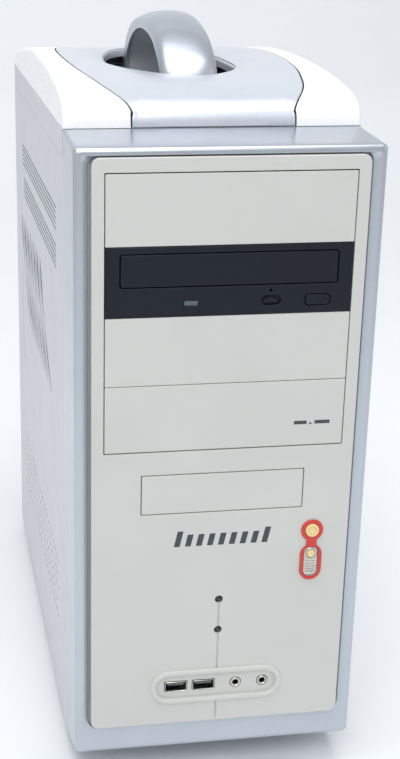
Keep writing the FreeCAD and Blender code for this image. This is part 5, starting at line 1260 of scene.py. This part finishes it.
class TOWER_OT_centre_panel(bpy.types.Operator):
    """Silver centre panel: front slope, smooth bowl round the handle, and a rolled oval rim"""
    bl_idname = "tower.centre_panel"
    bl_label = "Centre panel"

    def execute(self, context):
        seam = shell().groove / MM
        middle = distance_to(DISH_MIDDLE)
        corner, tail = CENTRE_CORNER - seam, distance_to(CENTRE_BACK) - seam
        right = [(corner, 0.02 + distance_to(CENTRE_FRONT) * at / 4) for at in range(4)]
        right += [(max(half - seam, 0.0), min(distance_to(behind), tail))
                  for behind, half in smooth_line(CENTRE_LINE, 90)]
        right[-1] = (0.0, tail)
        front = [(-corner + corner * 2 * at / 40, right[0][1]) for at in range(1, 40)]
        outline = right + [(-x, s) for x, s in reversed(right[:-1])] + front
        shares = (0.03, 0.06, 0.1, 0.15, 0.2, 0.26, 0.32, 0.38, 0.45, 0.52, 0.6, 0.68, 0.76, 0.84, 0.91, 0.96)
        rings = []
        inner = []
        for x, s in outline:
            turn = math.atan2((s - middle) / WELL_HALF_Y, x / WELL_HALF_X)
            behind = DISH_MIDDLE + WELL_HALF_Y * math.sin(turn)
            inner.append((WELL_HALF_X * math.cos(turn), distance_to(behind)))

        def ring(share, extra):
            points = []
            for (x0, s0), (x1, s1) in zip(inner, outline):
                x, s = x0 + (x1 - x0) * share, s0 + (s1 - s0) * share
                points.append(on_cover(x, s, dish_sink(x, place_at(s)[0]) + extra))
            return points

        edge = ring(0.0, 0.0)
        centre = Vector((0, FACE_Y + DISH_MIDDLE * MM, 0))
        for drop, pull in ((6.0, 0.0), (2.2, 0.0), (1.5, 0.16), (0.8, 0.55), (0.25, 1.1)):
            lowered = []
            for point in edge:
                out = Vector((point.x, point.y - centre.y, 0)).normalized()
                lowered.append(point + out * pull * MM - Vector((0, 0, drop * MM)))
            rings.append(lowered)
        rings += [ring(share, 0.0) for share in shares]
        rings += [ring(0.992, 0.05), ring(1.0, 0.55)]
        form = thickened(upward(loft(rings)), "centre", WALL)
        # The centre panel's paler copy of the silver lacquer is painted light.
        piece("top_centre_panel_shell", [form], lit_silver_copy, "chassis",
              "silver_lacquer", "top_centre_panel")
        return {"FINISHED"}


def ellipse_ring(half_x, half_y, z):
    """An oval round the handle at one height."""
    return [Vector((half_x * MM * math.cos(a), FACE_Y + (DISH_MIDDLE + half_y * math.sin(a)) * MM, z))
            for a in [2 * math.pi * n / 96 for n in range(96)]]


class TOWER_OT_handle_well(bpy.types.Operator):
    """Pan under the oval, with a rounded floor edge, coloured charcoal as painted shade of the deep recess"""
    bl_idname = "tower.handle_well"
    bl_label = "Handle well"

    def execute(self, context):
        low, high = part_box("handle_well")
        rings = [ellipse_ring(42.5, 103.5, low.z), ellipse_ring(42.5, 103.5, high.z),
                 ellipse_ring(40.5, 101.5, high.z), ellipse_ring(40.5, 101.5, low.z + 4 * MM),
                 ellipse_ring(39.8, 100.8, low.z + 2.6 * MM), ellipse_ring(38.5, 99.5, low.z + 2 * MM)]
        # The pan's charcoal colour is painted shade of the deep recess.
        piece("handle_well_pan", [loft(rings, caps=True)], charcoal_and_well_shade, "chassis", "dark_grey_abs",
              "handle_well")
        return {"FINISHED"}


HANDLE_OUT = [(127.6, 19), (130, 38), (143, 53), (170, 67), (215, 74), (262, 66), (288, 53.5), (303, 38),
              (306.4, 19)]
HANDLE_IN = [(140, 19), (143, 36), (154, 49), (177, 58.5), (213, 62), (243, 58.5), (267, 49.5), (284, 36),
             (289, 19)]


class TOWER_OT_carry_handle(bpy.types.Operator):
    """Arched carry handle: crowned silver outside, a thin rim, and a recessed underside in its own grey of
    painted light and shade
    """
    bl_idname = "tower.carry_handle"
    bl_label = "Carry handle"

    def execute(self, context):
        count = 72
        outer, inner = smooth_line(HANDLE_OUT, count), smooth_line(HANDLE_IN, count)
        half, crown, power = 19.0, 8.5, 2.3
        rim, recess, underside = 2.6, 2.4, 3.4
        rings = []
        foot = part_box("carry_handle")[0].z
        for (oy, oz), (iy, iz) in zip(outer, inner):
            deep = math.hypot(iy - oy, iz - oz)
            way = ((iy - oy) / deep, (iz - oz) / deep)
            section = []
            for at in range(25):
                w = -math.cos(math.pi * at / 24)
                section.append((half * w, crown * (1 - (1 - min(abs(w), 1.0) ** power) ** (1 / power))))
            section += [(half, deep - 0.8), (half - 0.25, deep - 0.2), (half - 0.8, deep),
                        (half - rim, deep), (half - rim - 0.2, deep - 0.3), (half - rim - 0.3, deep - recess)]
            section += [(-x, d) for x, d in reversed(section[25:])]
            rings.append([Vector((x * MM, FACE_Y + (oy + way[0] * d) * MM,
                                  BAYS_TOP + (oz + way[1] * d) * MM)) for x, d in section])
        form = loft(rings, caps=True)
        # Underside faces near the inner curve take the second finish, a grey of painted light and shade.
        for face in form.faces:
            if len(face.verts) == 4:
                wide = max(abs(vert.co.x) for vert in face.verts)
                centre = face.calc_center_median()
                inside = wide < (half - rim + 0.05) * MM
                near = min(math.hypot(centre.y - FACE_Y - iy * MM, centre.z - BAYS_TOP - iz * MM)
                           for iy, iz in inner)
                face.material_index = 1 if inside and near < underside * MM else 0
        for vert in form.verts:
            vert.co.z = max(vert.co.z, foot)
        piece("carry_handle_strap", [form], (silver_lacquer, underside_painted_light), "chassis",
              "silver_lacquer", "carry_handle")
        return {"FINISHED"}


# ---------------------------------------------------------------- sides, prints, screws and feet
PRINT_X = -HALF_WIDTH
INSET = 0.1 * MM                 # of the panels from the case's width, which the prints fill
VENT_ROWS, VENT_COLUMNS, VENT_PITCH, VENT_ROW_PITCH = 5, 24, 11.2 * MM, 10.5 * MM
VENT_LENGTH, VENT_HEIGHT = 6.5, 2.6
VENT_START, VENT_LOW = 98, 72
PULL_BEHIND, PULL_DROP = 367 * MM, 183 * MM
NEAR = 1e-6


class TOWER_OT_side_panels(bpy.types.Operator):
    """Powder-coated side panels: folded edges, finger slots, and vent slots low on the left one"""
    bl_idname = "tower.side_panels"
    bl_label = "Side panels"

    def execute(self, context):
        fold = shell().fold_edge
        tree = sheet_tree()
        for side, name in ((-1, "left_side_panel"), (1, "right_side_panel")):
            low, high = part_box(name)
            length, height = high.y - low.y, high.z - low.z
            thickness = 0.9 * MM
            rows = VENT_ROWS if side < 0 else 0
            turn = SIDE_TURN.to_4x4()
            if side > 0:
                turn = Matrix.Scale(-1, 4, (1, 0, 0)) @ turn
            place = Matrix.Translation((side * (HALF_WIDTH - INSET), 0, 0)) @ turn
            pull = Vector((FACE_Y + PULL_BEHIND, BAYS_TOP - PULL_DROP, 0))
            values = {"Length": length, "Height": height,
                      "Middle": ((low.y + high.y) / 2, (low.z + high.z) / 2, 0.0),
                      "Columns": VENT_COLUMNS, "Rows": rows, "Column step": (VENT_PITCH, 0.0, 0.0),
                      "Row step": (0.0, VENT_ROW_PITCH, 0.0), "Row shift": 0.5,
                      "Slot length": VENT_LENGTH * MM, "Slot height": VENT_HEIGHT * MM,
                      "First slot": (FACE_Y + (VENT_START + VENT_LENGTH / 2) * MM,
                                     (VENT_LOW + VENT_HEIGHT / 2) * MM, 0.0),
                      "Pull length": 3.0 * MM, "Pull height": 82 * MM, "Pull place": pull,
                      "Thickness": thickness}
            sheet = grown(tree, None, values, powder_coat, place)
            bmesh.ops.remove_doubles(sheet, verts=sheet.verts, dist=1e-6)
            outside = side * (HALF_WIDTH - INSET)

            def lies_at(edge, axis, where):
                return all(abs(vert.co[axis] - where) < NEAR for vert in edge.verts)

            rim = [edge for edge in sheet.edges if lies_at(edge, 0, outside)
                   and any(lies_at(edge, axis, end[axis]) for axis in (1, 2) for end in (low, high))]
            bmesh.ops.bevel(sheet, geom=rim, offset=fold, segments=3, profile=0.5, affect="EDGES")
            inner = HALF_WIDTH - INSET - thickness
            forms = [sheet]

            def fold_bar(x_in, y0, y1, z0, z1):
                ends = sorted((side * x_in, side * inner))
                forms.append(bar((ends[0], y0, z0), (ends[1], y1, z1), 0.2 * MM, 1))

            edge_fold, rear_fold = HALF_WIDTH - 8 * MM, HALF_WIDTH - 12 * MM
            fold_bar(edge_fold, low.y, high.y - SHEET, low.z, low.z + SHEET)
            fold_bar(edge_fold, low.y, high.y - SHEET, high.z - SHEET, high.z)
            fold_bar(rear_fold, high.y - SHEET, high.y, low.z, high.z)
            cup_start = inner + 0.3 * MM
            rings = []
            for deep, half_y, half_z in ((0.0, 1.49, 40.9), (2.4, 1.3, 40.6), (2.8, 0.9, 40.2)):
                outline = rounded_rect(2 * half_y * MM, 2 * half_z * MM, half_y * 0.98 * MM)
                rings.append([Vector((side * (cup_start - deep * MM), pull.x + u, pull.y + v))
                              for u, v in outline])
            outer_cup = []
            for ring, cup_wall in zip(rings, (0.01, 0.6, 0.6)):
                outer_cup.append([Vector((p.x - side * cup_wall * MM, pull.x + (p.y - pull.x) * 1.5,
                                          pull.y + (p.z - pull.y) * 1.01)) for p in ring])
            forms.append(loft(list(reversed(outer_cup)) + rings, caps=True))
            piece(name + "_sheet", forms, powder_coat, name, "powder_coated_steel", name)
        return {"FINISHED"}


PRINT_THICK = 0.07 * MM


def stroke(points, widest):
    """A flat tapered stroke on the left panel, through pairs of place behind and drop in millimetres."""
    count = 20
    line = smooth_line(points, count)
    form = bmesh.new()
    layers = []
    for lift in (0.0, PRINT_THICK):
        rows = []
        for at, (y, z) in enumerate(line):
            ahead, behind = line[min(at + 1, count - 1)], line[max(at - 1, 0)]
            run = math.hypot(ahead[0] - behind[0], ahead[1] - behind[1])
            side = (-(ahead[1] - behind[1]) / run, (ahead[0] - behind[0]) / run)
            wide = widest / 2 * max(math.sin(math.pi * (at + 0.4) / 19.8), 0.04)
            rows.append([form.verts.new((PRINT_X + INSET - lift, FACE_Y + (y + side[0] * wide * way) * MM,
                                         BAYS_TOP - (z - side[1] * wide * way) * MM)) for way in (-1, 1)])
        layers.append(rows)
    under, over = layers
    for at in range(count - 1):
        form.faces.new((under[at][0], under[at][1], under[at + 1][1], under[at + 1][0]))
        form.faces.new((over[at][0], over[at + 1][0], over[at + 1][1], over[at][1]))
        for way in (0, 1):
            form.faces.new((under[at][way], under[at + 1][way], over[at + 1][way], over[at][way]))
    for at in (0, count - 1):
        form.faces.new((under[at][0], under[at][1], over[at][1], over[at][0]))
    return form


def feather(start, width):
    """One crescent of the panel's drawing, leaning forward from its upper end."""
    return stroke([(start, 98), (start - 12, 122), (start - 38, 149), (start - 74, 175)], width)


PRINT_FEATHERS = 7
FEATHER_STEP = 26.0


class TOWER_OT_prints(bpy.types.Operator):
    """Generic ink marks: short dashes and a row of crescents on the left panel, and bars on the face"""
    bl_idname = "tower.prints"
    bl_label = "Printed marks"

    def execute(self, context):
        tree = rows_tree()
        forms = []
        for first, rows, columns in ((38.0, 5, 58), (63.0, 5, 56)):
            dash = bar((PRINT_X + INSET - PRINT_THICK, FACE_Y + 99 * MM, BAYS_TOP - (first + 1.1) * MM),
                       (PRINT_X + INSET, FACE_Y + 102.2 * MM, BAYS_TOP - first * MM), 0.02 * MM, 1)
            forms.append(grown(tree, dash, {
                "Columns": columns, "Rows": rows, "Column step": (0.0, 4.3 * MM, 0.0),
                "Row step": (0.0, 0.0, -3.5 * MM), "Row shift": 0.37}, printed_ink))
        for at in range(PRINT_FEATHERS):
            width = 13.0 + 9.0 * math.sin(0.8 * at + 0.6) ** 2
            forms.append(feather(366 - FEATHER_STEP * at, width))
        piece("left_panel_print", forms, printed_ink, "left_side_panel", "dark_grey_abs")
        forms = [feather(352 - FEATHER_STEP * at, 9.0) for at in range(PRINT_FEATHERS - 1)]
        piece("left_panel_tone", forms, faded_ink, "left_side_panel", "dark_grey_abs")
        forms = []

        def mark(corners, low):
            outline = [(x * MM, low + z * MM) for x, z in corners]
            return cut_plate(outline, [], FACE_Y - 0.05 * MM, FACE_Y + 0.02 * MM, 0.01 * MM)

        # Nine slanted bars, the first and the last a little taller.
        for at, tall in enumerate((10.5,) + 7 * (8.0,) + (10.5,)):
            left, right = -30.1 + 7 * at, -26.4 + 7 * at
            lean = tall * 0.22
            forms.append(mark([(left, 0.0), (right, 0.0), (right + lean, tall), (left + lean, tall)],
                              BAYS_TOP - 233.5 * MM))
        for left, wide, tall in ((43.0, 8.0, 2.28), (52.6, 1.6, 0.9), (56.0, 9.6, 2.28)):
            right = left + wide
            forms.append(mark([(left, 0.0), (right, 0.0), (right, tall), (left, tall)],
                              BAYS_TOP - 155.4 * MM))
        piece("face_marks", forms, printed_ink, "chassis", "dark_grey_abs")
        return {"FINISHED"}


class TOWER_OT_thumbscrews(bpy.types.Operator):
    """Knurled, slotted thumbscrews that hold the side panels"""
    bl_idname = "tower.thumbscrews"
    bl_label = "Thumbscrews"

    def execute(self, context):
        tree = ring_tree()
        for name in ("left_upper_thumbscrew", "left_lower_thumbscrew", "right_upper_thumbscrew",
                     "right_lower_thumbscrew"):
            low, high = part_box(name)
            x, z = (low.x + high.x) / 2, (low.z + high.z) / 2
            seat, end = BACK_Y + 0.3 * MM, high.y
            shank, head = 1.65 * MM, 5.3 * MM
            cap = end - 1.6 * MM
            body = [(0, low.y), (1.4 * MM, low.y), (shank, low.y + 0.4 * MM), (shank, seat),
                    (4.4 * MM, seat), (4.6 * MM, seat + 1.6 * MM), (head, seat + 2.0 * MM), (head, cap),
                    (0, cap)]
            forms = [lathe(body, (x, 0, z), FRONT_AXIS)]
            slot = rounded_rect(9.0 * MM, 1.2 * MM, 0.2 * MM, x, z, 2)
            forms.append(cut_plate(circle(head, x, z, 40), [slot], cap + 0.02 * MM, end, 0.5 * MM))
            rib = bar((5.0 * MM, -0.42 * MM, seat + 2.4 * MM), (5.9 * MM, 0.42 * MM, end - 0.9 * MM),
                      0.3 * MM)
            place = Matrix.Translation((x, 0, z)) @ LYING
            forms.append(grown(tree, rib, {"Count": 24, "Turn": FULL_TURN}, nickel, place))
            piece(name + "_knob", forms, nickel, name, "nickel_plate", name)
        return {"FINISHED"}


class TOWER_OT_feet(bpy.types.Operator):
    """Four soft rubber feet"""
    bl_idname = "tower.feet"
    bl_label = "Feet"

    def execute(self, context):
        low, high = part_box("rubber_feet")
        radius, tall = 12 * MM, high.z
        profile = [(0, 0.6), (7.5, 0.6), (8.2, 0), (10.4, 0), (11.4, 0.5), (11.9, 1.6), (12.0, 3.0),
                   (11.6, tall / MM), (0, tall / MM)]
        forms = [lathe([(r * MM, d * MM) for r, d in profile], (x, y, 0), (0, 0, 1))
                 for x in (low.x + radius, high.x - radius) for y in (low.y + radius, high.y - radius)]
        piece("rubber_feet_discs", forms, soft_rubber, "chassis", "rubber",
              "rubber_feet")
        return {"FINISHED"}


# ---------------------------------------------------------------- fans and the grille
BLADE_SECTION = ((-0.5, 0.0), (-0.3, 0.5), (0.1, 0.6), (0.4, 0.3), (0.5, 0.0), (0.4, -0.3), (0.1, -0.5),
                 (-0.3, -0.4))      # along the chord as a share of it, and thickness in millimetres


def blade_form(root, tip, height):
    """One twisted, swept fan blade about the Z axis, with a thin rounded section."""
    form = bmesh.new()
    rows = []
    for step in range(7):
        share = step / 6
        radius = root + (tip - root) * share
        pitch = math.radians(52 - 18 * share)
        sweep = math.radians(14 * share)
        chord = 0.62 * radius + 5 * MM
        loop = []
        for along, thick in BLADE_SECTION:
            run = along * chord
            rise = run * math.sin(pitch) + thick * MM * math.cos(pitch)
            rise = max(min(rise, height / 2), -height / 2)
            turn = sweep + (run * math.cos(pitch) - thick * MM * math.sin(pitch)) / radius
            loop.append(form.verts.new((radius * math.cos(turn), radius * math.sin(turn), rise)))
        rows.append(loop)
    for first, second in zip(rows, rows[1:]):
        for at in range(len(first)):
            after = (at + 1) % len(first)
            form.faces.new((first[at], first[after], second[after], second[at]))
    form.faces.new(rows[0][::-1])
    form.faces.new(rows[-1])
    return form


class TOWER_OT_fan_rotors(bpy.types.Operator):
    """Rotors of the three fans: domed hub and seven twisted blades"""
    bl_idname = "tower.fan_rotors"
    bl_label = "Fan rotors"

    def execute(self, context):
        tree = ring_tree()
        for name, axis in (("supply_fan_rotor", "y"), ("rear_fan_rotor", "y"), ("cooler_fan_rotor", "x")):
            low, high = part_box(name)
            size, middle = high - low, (low + high) / 2
            deep = size.y if axis == "y" else size.x
            radius = (size.z / 2) * 0.985
            hub = radius * 17 / 36
            way = Vector((0, 1, 0)) if axis == "y" else Vector((1, 0, 0))
            start = middle - way * deep / 2
            bore, sleeve, floor, end = 2.1 * MM, 3.6 * MM, deep * 0.35, deep - 0.1 * MM
            rings = [(0, 0.0), (hub * 0.8, 0.0), (hub * 0.95, 0.5 * MM), (hub, 1.4 * MM), (hub, end),
                     (hub * 0.88, end), (hub * 0.88, floor), (sleeve, floor), (sleeve, end - 0.5 * MM),
                     (bore, end - 0.5 * MM), (bore, 1.8 * MM), (0, 1.8 * MM)]
            forms = [lathe(rings, start, way, 48)]
            turn = Vector((0, 0, 1)).rotation_difference(way).to_matrix().to_4x4()
            place = Matrix.Translation(middle) @ turn
            blade = blade_form(hub * 0.97, radius, deep * 0.74)
            forms.append(grown(tree, blade, {"Count": 7, "Turn": FULL_TURN}, fan_black, place))
            piece(name + "_wheel", forms, fan_black, name, "fan_plastic", name)
        return {"FINISHED"}


class TOWER_OT_fan_grille(bpy.types.Operator):
    """Round wire grille over the power supply's fan"""
    bl_idname = "tower.fan_grille"
    bl_label = "Fan grille"

    def execute(self, context):
        low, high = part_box("supply_fan_grille")
        middle = (low + high) / 2
        wire, smallest, rings = 0.8 * MM, 8 * MM, 6
        reach = (high.z - low.z) / 2 - wire
        step = (reach - smallest) / (rings - 1)
        values = {"Rings": rings, "Smallest": smallest, "Step": step, "Wire": wire, "Spokes": 4}
        wires = grown(wire_tree(), None, values, nickel, Matrix.Translation(middle) @ LYING)
        piece("supply_fan_grille_wires", [wires], nickel, "chassis",
              "nickel_plate", "supply_fan_grille")
        return {"FINISHED"}


DRESSED = (
    (galvanised, ("chassis_base", "chassis_front_sheet", "chassis_rear_sheet", "motherboard_tray",
                  "drive_cage", "drive_case", "supply_case", "slot_covers", "io_shield")),
    (powder_coat, ("chassis_top_tray",)),
    (nickel, ("handle_screws",)),
    (charcoal_and_well_shade, ("disc_tray", "disc_spindle")),
    (black_abs, ("inlet_and_switch", "rocker_button")),
    (red_plastic, ("voltage_selector",)),
    (fan_black, ("supply_fan_frame", "rear_fan_frame", "cooler_fan_frame")),
    (solder_mask, ("motherboard", "front_boards", "memory_modules")),
    (connector_plastic, ("board_components", "rear_connectors")),
    (aluminium, ("heatsink", "hard_drive")),
)


class TOWER_OT_inside(bpy.types.Operator):
    """Real finishes for the parts that keep their design shape, inside and at the back"""
    bl_idname = "tower.inside"
    bl_label = "Inside finishes"

    def execute(self, context):
        for maker, nodes in DRESSED:
            for node in nodes:
                dress(node, maker)
        return {"FINISHED"}


# ---------------------------------------------------------------- stage
def soft_light(name, place, aim, size, power, tone):
    """A large rectangular lamp that looks at a point."""
    data = bpy.data.lights.new(name, "AREA")
    data.shape = "RECTANGLE"
    data.size, data.size_y = size
    data.energy = power
    data.color = linear(tone)[:3]
    lamp = bpy.data.objects.new(name, data)
    bpy.context.scene.collection.objects.link(lamp)
    lamp.location = place
    lamp.rotation_euler = (Vector(aim) - Vector(place)).to_track_quat("-Z", "Y").to_euler()


TOWER_SPOT, SWEEP_SPOT = (0, 0, 0.2), (0, 4.2, 0.3)
# Each light's name, place, aim and size in metres, power in watts and colour.
LIGHTS = (
    ("overhead", (-0.1, -0.3, 1.9), TOWER_SPOT, (1.6, 1.3), 20, "#FFFFFF"),
    ("front", (-0.4, -1.9, 1.9), TOWER_SPOT, (1.5, 1.0), 20, "#FFFFFF"),
    ("left", (-1.8, -0.5, 0.9), TOWER_SPOT, (0.9, 1.2), 2, "#FFFFFF"),
    ("backdrop", (0.0, 2.6, 2.6), SWEEP_SPOT, (5.0, 2.0), 42, "#FFFFFF"),
    ("right", (1.7, -0.7, 1.0), TOWER_SPOT, (0.9, 1.6), 3, "#F8FAFF"),
)


def backdrop_paper():
    """Matt white studio paper, very slightly uneven."""
    return moulded("Studio paper", "#F1F3F5", 0.85, 8 * MM, 0.02 * MM, 0.006)


class TOWER_OT_stage(bpy.types.Operator):
    """White sweep, large soft lights and the camera"""
    bl_idname = "tower.stage"
    bl_label = "Stage"

    def execute(self, context):
        form = bmesh.new()
        rows = []
        flat, bend, tall, half_wide = 3.6, 1.2, 4.5, 4.0
        curve = [(flat + bend * math.sin(QUARTER * n / 10), bend - bend * math.cos(QUARTER * n / 10))
                 for n in range(1, 11)]
        for y, z in [(-flat, 0.0), (flat, 0.0)] + curve + [(flat + bend, tall)]:
            rows.append([form.verts.new((x, y, z)) for x in (-half_wide, half_wide)])
        for (a, b), (c, d) in zip(rows, rows[1:]):
            form.faces.new((a, b, d, c))
        mesh = bpy.data.meshes.new("sweep")
        for face in form.faces:
            face.smooth = True
        form.to_mesh(mesh)
        form.free()
        sweep = bpy.data.objects.new("sweep", mesh)
        bpy.context.scene.collection.objects.link(sweep)
        mesh.materials.append(backdrop_paper())
        world = bpy.data.worlds.new("studio")
        world.use_nodes = True
        back = world.node_tree.nodes["Background"]
        back.inputs["Color"].default_value = linear("#F4F6F9")
        back.inputs["Strength"].default_value = 0.55
        bpy.context.scene.world = world
        bpy.context.scene.view_settings.view_transform = "Standard"
        for name, place, aim, size, power, tone in LIGHTS:
            soft_light(name, place, aim, size, power, tone)
        sizes = bpy.context.scene.tower_stage
        turn, tip, roll = sizes.azimuth, sizes.elevation, sizes.roll
        back = Vector((math.sin(turn) * math.cos(tip), -math.cos(turn) * math.cos(tip), math.sin(tip)))
        right = Vector((math.cos(turn), math.sin(turn), 0))
        up = back.cross(right)
        leaned = right * math.cos(roll) + up * math.sin(roll)
        raised = up * math.cos(roll) - right * math.sin(roll)
        data = bpy.data.cameras.new("camera")
        data.sensor_width = 36
        data.lens = sizes.lens
        data.shift_x, data.shift_y = sizes.shift
        data.clip_start = 0.02
        camera = bpy.data.objects.new("camera", data)
        bpy.context.scene.collection.objects.link(camera)
        spot = Vector((0, FACE_Y, BAYS_TOP)) + Vector(sizes.place)
        camera.matrix_world = Matrix((
            (leaned.x, raised.x, back.x, spot.x), (leaned.y, raised.y, back.y, spot.y),
            (leaned.z, raised.z, back.z, spot.z), (0, 0, 0, 1)))
        bpy.context.scene.camera = camera
        return {"FINISHED"}


PROPERTY_GROUPS = (
    (TowerShellSizes, "tower_shell"), (TowerColours, "tower_colours"), (TowerStageSizes, "tower_stage"))
OPERATORS = (
    TOWER_OT_bezel_frame, TOWER_OT_face_plate, TOWER_OT_bay_blanks, TOWER_OT_drive_front,
    TOWER_OT_switches, TOWER_OT_status_lamps, TOWER_OT_port_panel, TOWER_OT_top_cover,
    TOWER_OT_centre_panel, TOWER_OT_handle_well, TOWER_OT_carry_handle, TOWER_OT_side_panels,
    TOWER_OT_prints, TOWER_OT_thumbscrews, TOWER_OT_feet, TOWER_OT_fan_rotors, TOWER_OT_fan_grille,
    TOWER_OT_inside, TOWER_OT_stage)


class TOWER_PT_panel(bpy.types.Panel):
    """Lists the tower's sizes, colours and operators"""
    bl_idname = "TOWER_PT_panel"
    bl_label = "Desktop tower"
    bl_space_type = "VIEW_3D"
    bl_region_type = "UI"
    bl_category = "Tower"

    def draw(self, context):
        for group, label in PROPERTY_GROUPS:
            box = self.layout.box()
            for key in group.__annotations__:
                box.prop(getattr(context.scene, label), key)
        for operator in OPERATORS:
            self.layout.operator(operator.bl_idname)


def register():
    for group, label in PROPERTY_GROUPS:
        bpy.utils.register_class(group)
        setattr(bpy.types.Scene, label, bpy.props.PointerProperty(type=group))
    for kind in OPERATORS + (TOWER_PT_panel,):
        bpy.utils.register_class(kind)


def unregister():
    for kind in reversed(OPERATORS + (TOWER_PT_panel,)):
        bpy.utils.unregister_class(kind)
    for group, label in reversed(PROPERTY_GROUPS):
        delattr(bpy.types.Scene, label)
        bpy.utils.unregister_class(group)


def corners(box):
    """A box's two corners as lists."""
    return [list(corner) for corner in box]


def main():
    register()
    for operator in OPERATORS:
        family, call = operator.bl_idname.split(".")
        getattr(getattr(bpy.ops, family), call)()


if __name__ == "__main__":
    main()
